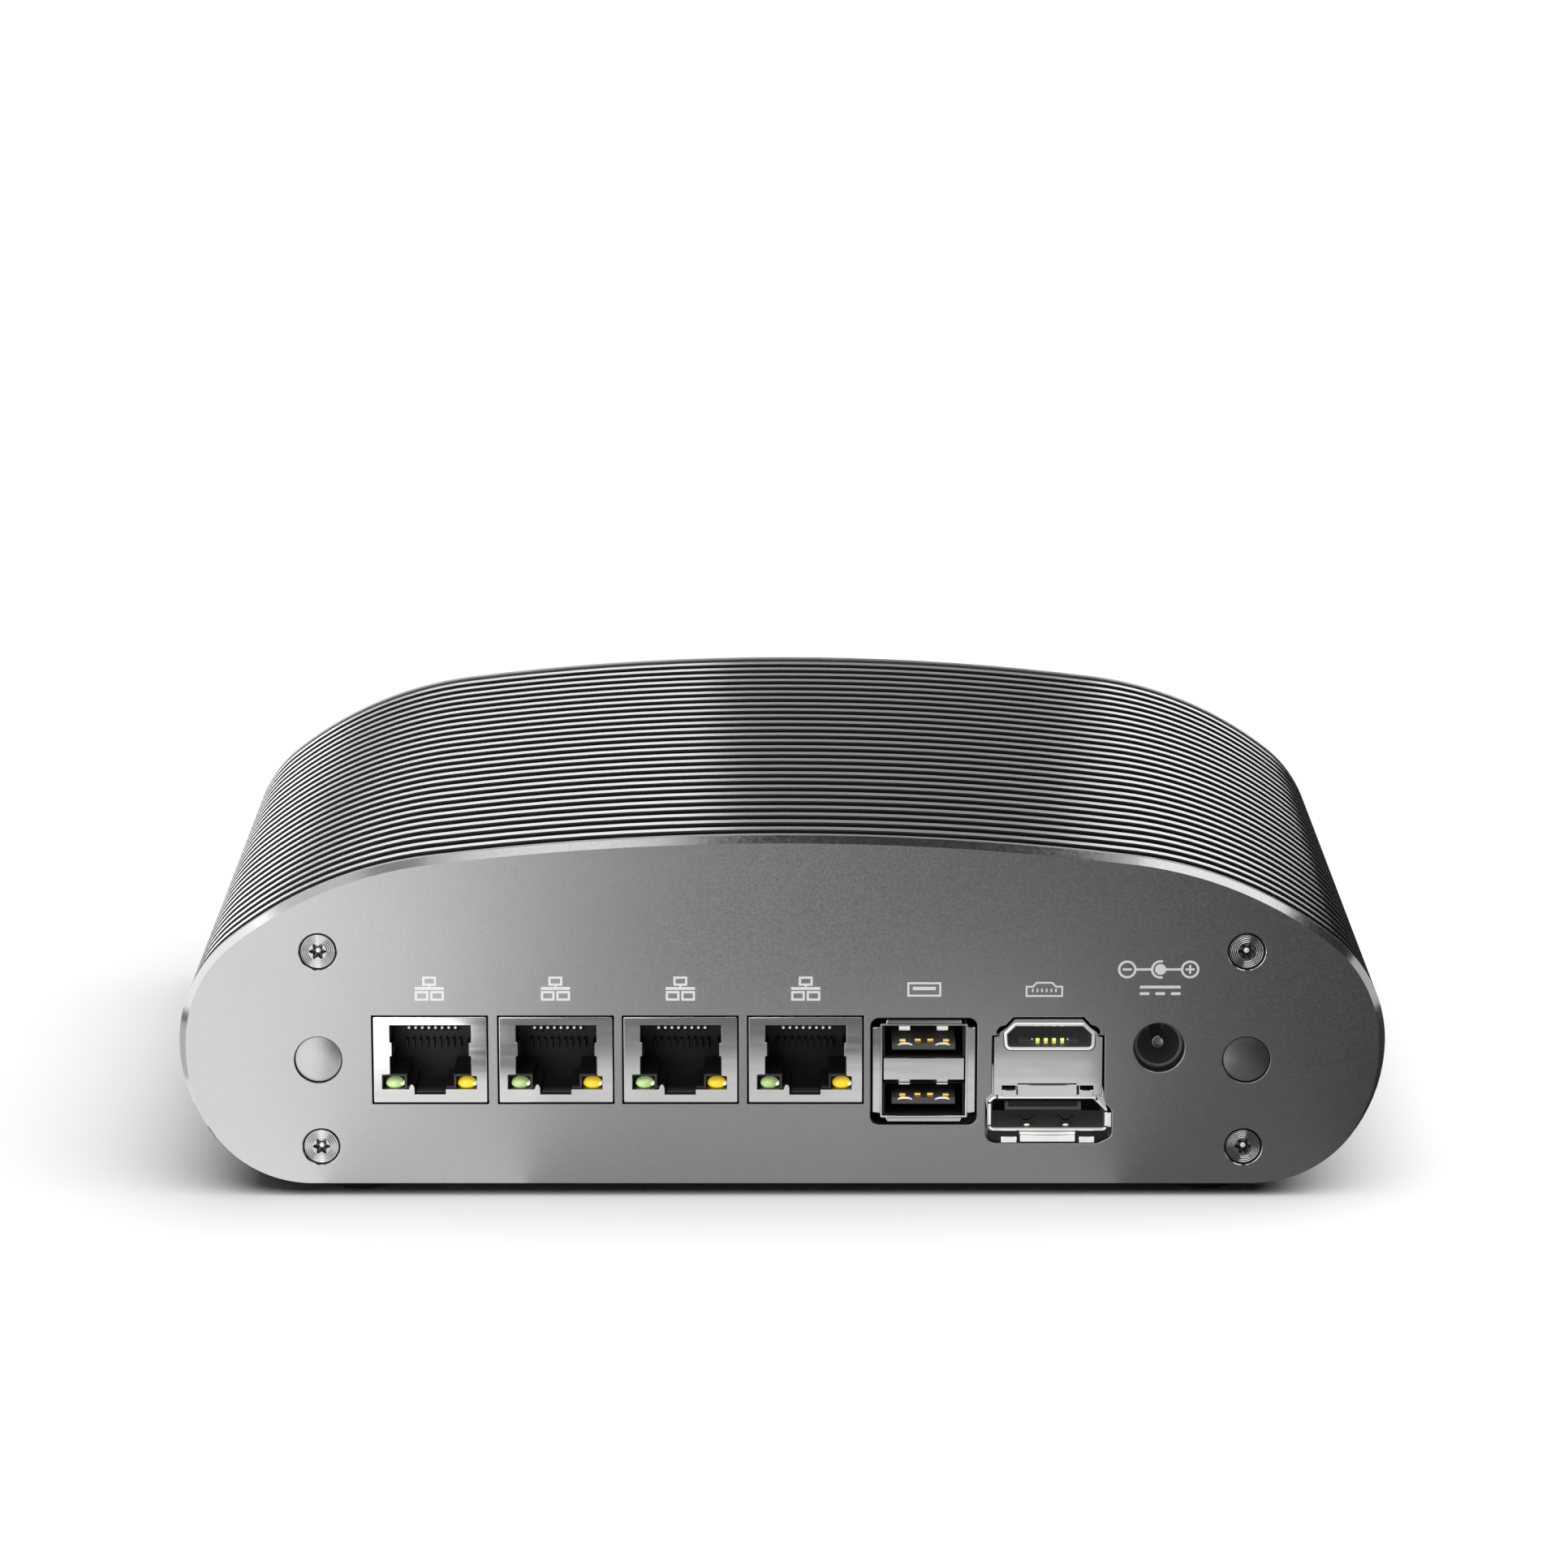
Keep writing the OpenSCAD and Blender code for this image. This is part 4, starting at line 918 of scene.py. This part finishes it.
def usb():
    place = from_front(USB_X, 0, SOCKET_Y)
    s = Shape(place)
    depth = USB_HIGH[1] - SOCKET_Y
    mouth = rect(-6.15, 12.45, 6.15, 26.25, 0.12, 2)
    shell = rect(-6.45, 12.15, 6.45, 26.55, 0.25, 4)

    # the front edge of the shell, and the four lips that flare from it
    rim, wide, front = grow(shell, -0.05), grow(mouth, 0.05), 0.02
    s.face(front, [rim, wide], 1)
    s.wall([(rim, front), (shell, front + 0.05), (shell, depth)])
    s.wall([(wide, front), (mouth, front + 0.05), (mouth, depth - SHEET)], 1)
    s.face(depth, [shell])
    s.face(depth - SHEET, [mouth])
    for lip in (((-5.72, 26.5), (5.72, 26.5), (5.42, 27.15), (-5.42, 27.15)),
                ((-5.42, 11.5), (5.42, 11.5), (5.72, 12.2), (-5.72, 12.2)),
                ((-7.6, 12.95), (-6.4, 12.8), (-6.4, 26.1), (-7.6, 25.95)),
                ((6.4, 12.8), (7.6, 12.95), (7.6, 25.95), (6.4, 26.1))):
        s.prism(fillet(lip, 0.2, 4), 0.0, 0.35, 0.1)
    # the plate between the two sockets, folded back at its top and bottom
    band = rect(-5.95, 17.95, 5.95, 21.28, 0.1, 2)
    s.plate([(grow(band, -0.05), 0.12), (grow(band, -0.01), 0.16), (band, 0.22), (band, depth - 0.4)])
    # spring leaves in the roof of each socket, dimpled towards the plug; they glow as a painted highlight
    leaf = ((0.9, 0.25), (1.05, 0.45), (1.15, 0.7), (1.35, 1.0), (1.7, 1.08), (3.2, 0.8), (5.5, 0.3),
            (7.5, 0.1))
    for top in (26.25, 17.95):
        for u in (-2.85, 2.75):
            s.wire(u, [(t, top - d) for t, d in leaf], 0.8, 0.06, 2)
    shell_feet(s, USB_X, 6.25, 0.15, 26.3, USB_HIGH[2], (5, 14))
    piece("usb_socket_shell", s, [NICKEL, NICKEL_CUT, PAINTED_GLINT], "usb_shell", 40)

    black = Shape(place)
    gold = Shape(place)
    pad = ((0, 0), (0.03, 0.34), (0.2, 0.46), (0.5, 0.36), (0.85, -0.3))
    for floor_z in (12.5, 21.3):
        roof_z = floor_z + 4.9
        tongue_z = max(floor_z + 0.9, 13.85)
        tongue_top = tongue_z + 1.0
        black.bar(-6.1, floor_z, 6.1, roof_z, depth - 4.6, depth - 0.32, 0.1)
        black.bar(-4.7, tongue_z, 4.7, tongue_top, 1.3, depth - 4.3, 0.12, 1)
        # glowing crescents on the front edge of the tongue, below the outer contacts: painted highlights of
        # the spring ends
        for u in (-2.75, 2.8):
            end = bow(1.1, 0, 180, 12, (u, tongue_z + 0.72), 0.42)
            end += bow(0.95, 180, 0, 12, (u, tongue_z + 0.70), 0.16)
            black.prism(end, 1.18, 1.45, 0.03, 2)
        # black sheets over the metal round the plug's way, two sides, roof and floor: painted shade inside
        # the socket
        for x0, z0, x1, z1, t, edge in ((-6.12, floor_z - 0.02, -5.75, roof_z, 0.55, 0.05),
                                        (5.75, floor_z - 0.02, 6.12, roof_z, 0.55, 0.05),
                                        (-5.8, roof_z - 0.12, 5.8, roof_z - 0.02, 0.8, 0.02),
                                        (-5.8, floor_z - 0.02, 5.8, floor_z + 0.1, 0.8, 0.02)):
            black.bar(x0, z0, x1, z1, t, depth - 4.4, edge)
        # the pads glow: painted light in the socket's shade
        for u, start in ((-3.13, 1.75), (-0.87, 2.1), (1.0, 2.1), (3.3, 1.75)):
            path = [(start + t, tongue_top + h) for t, h in pad]
            gold.wire(u, path + [(10.5, tongue_top - 0.3)], 0.43, 0.06)
    piece("usb_tongues", black, [BLACK, FRAME, PAINTED_GLINT], "usb_insert", 30)
    piece("usb_pads", gold, [GOLD_GLOW], "usb_contacts", 50)


usb()

# ---------------------------------------------------------------- HDMI and DisplayPort

def shade_sleeve(s, mouth, thick, front, depth, skin):
    """A dark sleeve inside a metal mouth as painted shade, and the block behind it."""
    outer = grow(mouth, -0.02)
    inner = grow(outer, -thick)
    floor = depth - 9
    s.wall([(outer, front), (inner, front), (inner, floor), (outer, floor), (outer, front)], skin)
    s.prism(outer, floor, depth, 0.05)


def video():
    depth = VIDEO_HIGH[1] - SOCKET_Y
    place = from_front(VIDEO_X, 0, SOCKET_Y)
    hdmi_in = fillet([(-6.0, 22.9), (6.4, 22.9), (6.45, 24.9), (5.1, 26.2), (-4.85, 26.2), (-6.15, 24.9)],
                     [0.5, 0.5, 0.2, 0.2, 0.2, 0.2], 5)
    dp_in = fillet([(-8.4, 10.45), (8.45, 10.45), (8.45, 13.3), (6.75, 15.05), (-7.9, 15.05), (-8.4, 14.6)],
                   [0.35, 0.35, 0.2, 0.2, 0.15, 0.15], 4)

    s = Shape(place)
    # face plate with the stepped shoulders, its slots, and the opening of the HDMI mouth
    plate = fillet(
        [(-8.05, 15.6), (8.0, 15.6), (8.0, 24.55), (7.3, 24.6), (7.2, 25.25), (6.15, 26.0), (5.0, 27.3),
         (-5.0, 27.3), (-6.15, 26.0), (-7.2, 25.25), (-7.3, 24.6), (-8.05, 24.55)],
        [0.1, 0.1, 0.1, 0.1, 0.35, 0.4, 0.35, 0.35, 0.4, 0.35, 0.1, 0.1], 4)
    openings = [grow(hdmi_in, 0.54), rect(-4.5, 17.2, 4.25, 17.42), rect(-6.85, 16.35, -4.76, 17.1),
                rect(4.70, 16.35, 6.72, 17.1), rect(-4.66, 15.66, -4.48, 17.1), rect(4.28, 15.66, 4.58, 17.1)]
    front, back = 0.1, 0.1 + SHEET
    # the walls of the openings are black: painted shade in the slots and round the HDMI mouth
    s.plate([(grow(plate, -0.06), front), (plate, front + 0.07), (plate, back)],
            [[(loop, front), (loop, back)] for loop in openings], (0, 1, 2))

    # the collars round both mouths, rolled outwards, glowing as a painted highlight
    for inner, wide, t in ((hdmi_in, 0.42, 0.0), (dp_in, 0.36, 0.04)):
        outer, thick, rim = grow(inner, wide), grow(inner, 0.3), grow(inner, 0.1)
        s.wall([
            (rim, t), (grow(inner, 0.24), t), (grow(outer, -0.03), t + 0.08), (outer, t + 0.24),
            (outer, t + 0.5), (thick, t + 0.5), (thick, depth), (inner, depth), (inner, t + 0.12),
            (rim, t)], 3)

    # lips above, below and beside the DisplayPort mouth: corners, front and material; the lips below and at
    # the right of the mouth glow as a painted highlight
    for x0, z0, x1, z1, t, shade in (
            (-4.48, 15.42, 4.25, 17.18, 0.0, 0), (-6.82, 15.18, -4.66, 16.38, 0.04, 0),
            (4.62, 15.18, 6.72, 16.38, 0.04, 0), (-4.05, 8.42, 4.05, 9.42, 0.0, 3),
            (-4.15, 9.56, 4.1, 9.9, 0.06, 3), (-6.88, 8.28, -4.58, 9.14, 0.02, 3),
            (4.68, 8.28, 6.92, 9.14, 0.02, 3), (8.68, 10.7, 9.38, 12.84, 0.02, 3),
            (-9.02, 10.6, -8.72, 14.35, 0.05, 0)):
        s.prism(rect(x0, z0, x1, z1, 0.06, 2), t, 0.42, 0.08, shade)
    # black web behind the lower lips: painted shade in the gaps between them
    s.bar(-8.9, 8.25, 8.9, 10.02, 0.6, 0.85, 0.02, 2)
    # seams of the folded collar
    for u, z, half_w, half_h in ((-8.6, 14.42, 0.3, 0.12), (-7.5, 15.25, 0.12, 0.3), (7.2, 15.0, 0.16, 0.16),
                                 (8.65, 13.1, 0.3, 0.12), (-8.6, 10.9, 0.3, 0.1), (8.65, 10.75, 0.3, 0.1)):
        s.bar(u - half_w, z - half_h, u + half_w, z + half_h, 0.0, 0.3, 0.0, 2)
    # sides and roof of the shell behind the face plate
    body = fillet([(-7.9, 15.2), (7.9, 15.2), (7.9, 24.4), (7.1, 25.1), (5.0, 27.0), (-5.0, 27.0),
                   (-7.1, 25.1), (-7.9, 24.4)], 0.1, 2)
    slim = grow(body, -SHEET)
    s.wall([(slim, 0.55), (body, 0.55), (body, depth), (slim, depth), (slim, 0.55)])
    shell_feet(s, VIDEO_X, 7.4, 0.2, 24.5, VIDEO_HIGH[2], (6, 15))
    piece("video_socket_shell", s, [NICKEL, NICKEL_CUT, BLACK, PAINTED_GLINT], "video_shell", 35)

    black = Shape(place)
    shade_sleeve(black, hdmi_in, 0.12, 0.35, depth, 0)
    black.prism(rect(-4.4, 22.98, 4.55, 23.72, 0.12, 3), 1.5, depth - 8.5, 0.1)
    black.bar(-3.0, 23.02, 3.1, 23.12, 1.42, 1.62, 0.02, 2)
    gold = Shape(place)
    # the pads glow: painted light inside the shaded mouth
    path = [(1.36, 23.2), (1.38, 23.78), (1.52, 23.9), (1.8, 23.85), (2.1, 23.4), (8.8, 23.4)]
    for k in range(4):
        gold.wire(1.21 * (k - 1.5) + 0.27, path, 0.26, 0.05)
    # small glowing dots beside the contacts: painted highlights
    for u in (-2.35, 2.9):
        gold.bar(u - 0.1, 23.72, u + 0.1, 23.92, 1.36, 1.6, 0.04, 1)
    piece("hdmi_tongue", black, [DIM, GREY_PLASTIC, NICKEL], "hdmi_insert", 30)
    piece("hdmi_pads", gold, [YELLOW_GOLD_GLOW, PAINTED_GLINT], "hdmi_contacts", 50)

    dark = Shape(place)
    shade_sleeve(dark, dp_in, 0.14, 0.4, depth, 3)
    # tongue: a channel open at the top, seen end on
    trough = fillet([(-6.3, 12.85), (5.0, 12.85), (5.0, 14.2), (4.45, 14.2), (4.45, 13.42), (-5.72, 13.42),
                     (-5.72, 14.2), (-6.3, 14.2)], 0.08, 2)
    dark.prism(trough, 1.6, depth - 8.5, 0.06, 1)
    dark.bar(-5.7, 13.44, 4.43, 14.25, 1.75, 3.2, 0.04)
    # two leaf springs rising from the floor, and below them glowing dots that are painted highlights
    for u in (-3.05, 2.7):
        crescent = bow(1.25, 180, 360, 12, (u, 12.0), 1.3) + bow(0.85, 360, 180, 12, (u, 12.2), 0.72)
        dark.prism(crescent, 0.75, 1.6, 0.05)
        lens(dark, VIDEO_X + u, 10.85, 0.45, 0.17, SOCKET_Y + 0.55, 0.12, 24, 5, 2)
    piece("displayport_tongue", dark, [BLACK, FRAME, PAINTED_GLINT, DIM], "displayport_insert", 30)


video()

# ---------------------------------------------------------------- power inlet

def power_inlet():
    front = JACK_LOW[1]
    depth = JACK_HIGH[1] - front
    place = from_front(DC_X, DC_Z, front)
    s = Shape(place)
    outer = rect(-4.5, -4.5, 4.5, JACK_HIGH[2] - DC_Z, 0.3, 3)
    sunk, floor, bore_r, inner_r, outer_r = 0.6, depth - 3, 3.3, 3.1, 3.58
    bore = [(circle(r, 72), t) for r, t in ((bore_r, sunk), (bore_r, floor), (1.45, floor), (1.45, depth))]
    s.plate([(grow(outer, -0.15), sunk), (outer, sunk + 0.15), (outer, depth)], [bore])
    # the raised collar round the bore
    collar = [(inner_r, 0.16), (3.17, 0.04), (3.24, 0), (3.44, 0), (3.52, 0.04), (outer_r, 0.16)]
    s.lathe(collar, 96, 1)
    s.lathe([(outer_r, 0.16), (outer_r, sunk + 0.3), (bore_r, sunk + 0.3), (bore_r, floor - 0.1),
             (inner_r, floor - 0.1), (inner_r, 0.16)], 96)
    # both plastics glow faintly: painted light
    piece("power_inlet", s, [JACK, JACK_FACE], "dc_jack_body", 40)
    pin = Shape(place)
    r = 1.0
    tip = PIN_LOW[1] - front
    pin.lathe([(0, tip + 0.06), (0.4, tip + 0.05), (0.7, tip + 0.02), (0.76, tip), (0.88, tip + 0.04),
               (r - 0.02, tip + 0.14), (r, tip + 0.45), (r, floor), (1.4, floor), (1.4, depth), (0, depth)])
    piece("power_inlet_pin", pin, [STEEL], "dc_jack_pin", 40)


power_inlet()

# ---------------------------------------------------------------- printed signs on the socket panel

def signs():
    s = Shape(from_front(y=FACE))
    t = PRINT_T + 0.005

    def bar(x0, z0, x1, z1):
        s.bar(x0, z0, x1, z1, 0, t)

    def outline(outer, inner):
        s.plate([(outer, 0), (outer, t)], [[(inner, 0), (inner, t)]])

    def box_sign(x0, z0, x1, z1, w=0.34):
        outline(rect(x0, z0, x1, z1, 0.08, 3), rect(x0 + w, z0 + w, x1 - w, z1 - w))

    for x in LAN_X:
        # one computer above a line, two below it
        u = x + 0.02
        box_sign(u - 1.03, 32.42, u + 1.03, 33.82)
        bar(u - 0.16, 32.24, u + 0.16, 32.42)
        bar(u - 2.15, 31.78, u + 2.15, 32.22)
        box_sign(u - 2.15, 30.14, u - 0.13, 31.6)
        box_sign(u + 0.13, 30.14, u + 2.15, 31.6)

    # mouth of a flat plug socket with its tongue
    box_sign(USB_X - 2.5, 30.75, USB_X + 2.5, 32.95, 0.3)
    bar(USB_X - 1.7, 31.75, USB_X + 1.7, 32.25)

    # outline of the video socket with the comb of its contacts
    u = VIDEO_X - 0.7
    shape = moved([(-2.75, 30.72), (2.75, 30.72), (2.75, 32.4), (1.75, 32.4), (1.2, 33.0), (-1.2, 33.0),
                   (-1.75, 32.4), (-2.75, 32.4)], u, 0)
    outline(shape, grow(shape, -0.26))
    for k in range(6):
        c = u + 0.68 * (k - 2.5)
        bar(c - 0.12, 31.45, c + 0.12, 31.95)

    # polarity of the power plug: minus outside, plus on the pin
    z = 34.9
    left, right = DC_X - 4.9, DC_X + 4.35
    ring_r, arm, half = 1.36, 0.68, 0.16
    for c in (left, right):
        outline(circle(ring_r, 40, (c, z)), circle(1.02, 40, (c, z)))
        bar(c - arm, z - half, c + arm, z + half)
    bar(right - half, z + half, right + half, z + arm)
    bar(right - half, z - arm, right + half, z - half)
    s.prism(circle(0.82, 40, (DC_X, z)), 0, t)
    s.prism(bow(1.4, 75, 285, 21, (DC_X, z)) + bow(1.06, 285, 75, 21, (DC_X, z)), 0, t)
    bar(left + ring_r, z - 0.17, DC_X - ring_r, z + 0.17)
    bar(DC_X + 0.8, z - 0.17, right - ring_r, z + 0.17)
    # direct current: a line over three dashes
    bar(DC_X - 3.0, 32.0, DC_X + 3.0, 32.42)
    for k in (-1, 0, 1):
        bar(DC_X + 2.3 * k - 0.7, 31.0, DC_X + 2.3 * k + 0.7, 31.42)
    piece("printed_signs", s, [INK], None, 30)


signs()

# ---------------------------------------------------------------- power button and light pipes

def power_button():
    place = from_back(BUTTON_X, BUTTON_Z, BUTTON_HIGH[1])
    s = Shape(place)
    r = BUTTON_R
    total = BUTTON_HIGH[1] - BUTTON_LOW[1]
    flange = BUTTON_HIGH[1] - END_Y
    s.lathe([
        (0, 0.14), (2.0, 0.12), (3.4, 0.06), (4.4, 0.01), (4.5, 0.02), (4.56, 0.14), (4.74, 0.14),
        (4.8, 0.02), (4.9, 0.0), (r - 0.3, 0.0), (r - 0.1, 0.05), (r, 0.22), (r, flange), (r + 1.2, flange),
        (r + 1.3, flange + 0.1), (r + 1.3, flange + 1.3), (r + 1.2, flange + 1.4), (2.3, flange + 1.4),
        (2.2, flange + 1.5), (2.2, total - 0.2), (2.0, total), (0, total)], 96)
    piece("power_button_cap", s, [SATIN], "power_button", 35, "power_button")
    sign = Shape(place)
    ring = bow(1.9, 120, 420, 30, (0, -0.2)) + bow(1.55, 420, 120, 30, (0, -0.2))
    for loop in (ring, rect(-0.18, 0.1, 0.18, 2.1, 0.08, 3)):
        sign.prism(loop, 0.105, 0.16)
    piece("power_button_sign", sign, [INK], None, 30, "power_button")


power_button()


def light_pipes():
    s = Shape()
    length = PIPES_HIGH[1] - PIPES_LOW[1]
    for x in PIPE_X:
        s.at(from_back(x, BUTTON_Z, PIPES_HIGH[1])).lathe([
            (0, 0), (0.4, 0.02), (0.75, 0.08), (0.93, 0.2), (1, 0.38), (1, length - 0.1), (0.9, length),
            (0, length)], 40)
    piece("status_light_pipes", s, [CLEAR], "light_pipes", 40)


light_pipes()

# ---------------------------------------------------------------- CAD nodes that stay

KEPT = {
    "main_board": (BOARD, 0.08), "board_screws": (STEEL, 0.12), "processor": (BOARD, 0.08),
    "thermal_pad": (PAD, 0.1), "heat_spreader": (COPPER, 0.3), "spreader_screws": (STEEL, 0.12),
    "power_chokes": (EPOXY, 0.25), "board_capacitors": (CAN, 0.25), "lan_controllers": (EPOXY, 0.06),
    "firmware_chip": (EPOXY, 0.08), "memory_slot": (BLACK, 0.12), "memory_module": (BOARD, 0.06),
    "memory_chips": (EPOXY, 0.08), "ssd_slot": (BLACK, 0.12), "ssd_board": (DRIVE_BOARD, 0.06),
    "ssd_chips": (EPOXY, 0.08), "ssd_standoff": (BRASS, 0.1), "ssd_screw": (STEEL, 0.08),
    "battery_holder": (BLACK, 0.15), "backup_battery": (CAN, 0.2), "dc_jack_spring": (NICKEL, 0.04),
    "switch_plunger": (IVORY, 0.15), "power_switch": (BLACK, 0.12), "status_leds": (CLEAR, 0.15)}


def keep(node, mat, edge):
    """A CAD node that stays: procedural material and small rounded edges."""
    obj = NODES[node]
    obj.data.materials.clear()
    obj.data.materials.append(mat)
    obj.data.shade_smooth()
    weld = obj.modifiers.new("weld", "WELD")
    weld.merge_threshold = 2e-6
    flat = obj.modifiers.new("flats", "DECIMATE")
    flat.decimate_type = "DISSOLVE"
    flat.angle_limit = math.radians(1)
    rounding = obj.modifiers.new("edges", "BEVEL")
    rounding.width = edge * MM
    rounding.segments = 2
    rounding.limit_method = "ANGLE"
    rounding.angle_limit = math.radians(40)
    weigh(obj)


for node_name, (node_skin, node_edge) in KEPT.items():
    keep(node_name, node_skin, node_edge)

# ---------------------------------------------------------------- stage, lights and camera

def stage():
    """The floor that the camera sees, and the darker one that the object mirrors."""
    def sheet(name, z, grey, rough):
        mesh = bpy.data.meshes.new(name)
        mesh.from_pydata([(x, y, z) for x, y in corners(-8, -3, 8, 12)], [], [(0, 1, 2, 3)])
        mesh.materials.append(skin(name, (grey, grey, grey), rough, 0.0, (900, 0.01), 0.01, 5, 0.03))
        obj = bpy.data.objects.new(name, mesh)
        bpy.context.scene.collection.objects.link(obj)
        return obj

    seen = sheet("floor", 0.0, 0.90, 0.9)
    seen.visible_glossy = False
    seen.visible_diffuse = False
    bounce = sheet("floor_bounce", -0.0005, 0.30, 0.8)
    bounce.visible_camera = False
    bounce.visible_shadow = False
    return seen


FLOOR = stage()
ONLY_FLOOR = bpy.data.collections.new("only_floor")
ONLY_FLOOR.objects.link(FLOOR)
NOT_FLOOR = bpy.data.collections.new("not_floor")
NOT_FLOOR.objects.link(FLOOR)
NOT_FLOOR.collection_objects[0].light_linking.link_state = "EXCLUDE"


def lamp(name, data, facing, receivers):
    obj = bpy.data.objects.new(name, data)
    obj.rotation_euler = Vector(facing).to_track_quat("-Z", "Y").to_euler()
    obj.light_linking.receiver_collection = receivers
    bpy.context.scene.collection.objects.link(obj)
    return obj


def card(name, centre, facing, size, radiance):
    """A soft rectangular lamp for the object. size is along x or y, then along z or y."""
    data = bpy.data.lights.new(name, "AREA")
    data.shape = "RECTANGLE"
    data.size, data.size_y = size
    data.energy = radiance * math.pi * size[0] * size[1]
    obj = lamp(name, data, facing, NOT_FLOOR)
    obj.location = centre
    obj.visible_camera = False


def low_card(name, x, y, width, depth, radiance):
    """A card that lies just above the floor and shines up."""
    card(name, (x, y, 0.001), UP, (width, depth), radiance)


DOWN, UP, TO_CAMERA, AWAY = (0, 0, -1), (0, 0, 1), (0, -1, 0), (0, 1, 0)
LEFT, RIGHT, FRONT_DOWN = (-1, 0, 0), (1, 0, 0), (0, 0.8, -0.6)
card("above_near_left", (-0.165, -0.2, 1.0), DOWN, (0.18, 1.0), 0.95)
card("above_gap", (-0.38, -0.2, 1.0), DOWN, (0.24, 1.0), 0.25)
card("above_far_left", (-0.80, -0.2, 1.0), DOWN, (0.60, 1.0), 0.62)
card("above_right", (0.61, -0.29, 1.0), DOWN, (0.70, 0.35), 1.1)
card("side_left", (-0.8, 0.0, 0.4), RIGHT, (1.0, 0.8), 1.08)
card("side_right", (0.6, -0.05, 0.155), LEFT, (0.3, 0.25), 0.5)
card("back_left", (-0.264, 0.75, 0.29), TO_CAMERA, (0.472, 0.27), 1.4)
card("back_low", (-0.285, 0.75, 0.04), TO_CAMERA, (0.33, 0.08), 2.9)
card("back_middle", (0.05, 0.76, 0.21), TO_CAMERA, (0.155, 0.42), 0.35)
card("back_right", (0.215, 0.75, 0.21), TO_CAMERA, (0.176, 0.42), 1.3)
card("front_left", (-0.146, -0.30, 0.12), AWAY, (0.168, 0.24), 1.38)
card("front_high", (0.0, -0.55, 0.45), FRONT_DOWN, (0.5, 0.25), 2.3)
low_card("floor_left", -0.121, -0.2375, 0.138, 0.225, 1.42)
low_card("floor_left_near", -0.129, -0.0945, 0.122, 0.061, 1.32)
low_card("floor_blend", -0.053, -0.0945, 0.030, 0.061, 0.8)
low_card("floor_near", 0.006, -0.0805, 0.088, 0.033, 0.35)
low_card("floor_middle", 0.006, -0.115, 0.088, 0.036, 0.66)
low_card("floor_far", -0.016, -0.2415, 0.088, 0.217, 0.09)
low_card("floor_far_right", 0.0415, -0.2415, 0.027, 0.217, 0.22)
low_card("floor_right", 0.0675, -0.132, 0.035, 0.136, 0.10)
low_card("behind_middle", 0.0, 0.2, 0.18, 0.26, 0.5)
card("behind_high", (0.0, 0.85, 0.65), (0, -0.8, -0.6), (0.5, 0.2), 0.8)
low_card("beside_near", -0.106, 0.018, 0.028, 0.164, 0.85)
low_card("beside_far", -0.21, 0.018, 0.18, 0.164, 0.5)
low_card("behind_left", -0.22, 0.34, 0.26, 0.46, 1.5)

sun = bpy.data.lights.new("floor_sun", "SUN")
sun.energy = 3.9
sun.angle = math.radians(98)
lamp("floor_sun", sun, (-0.26, 0.15, -1), ONLY_FLOOR)

world = bpy.data.worlds.new("studio")
world.use_nodes = True
background = world.node_tree.nodes["Background"]
background.inputs["Color"].default_value = (1, 1, 1, 1)
background.inputs["Strength"].default_value = 0.03
bpy.context.scene.world = world

CAMERA_TILT = 13.42     # degrees below level
camera_data = bpy.data.cameras.new("camera")
camera_data.sensor_width = 36
camera_data.lens = 129.7
camera_data.clip_start = 0.01
camera_data.clip_end = 50
camera = bpy.data.objects.new("camera", camera_data)
camera.location = (0.00025, -0.8646, 0.2542)
camera.rotation_euler = (math.radians(90 - CAMERA_TILT), 0, 0)
bpy.context.scene.collection.objects.link(camera)
bpy.context.scene.camera = camera
bpy.context.scene.view_settings.view_transform = "Standard"
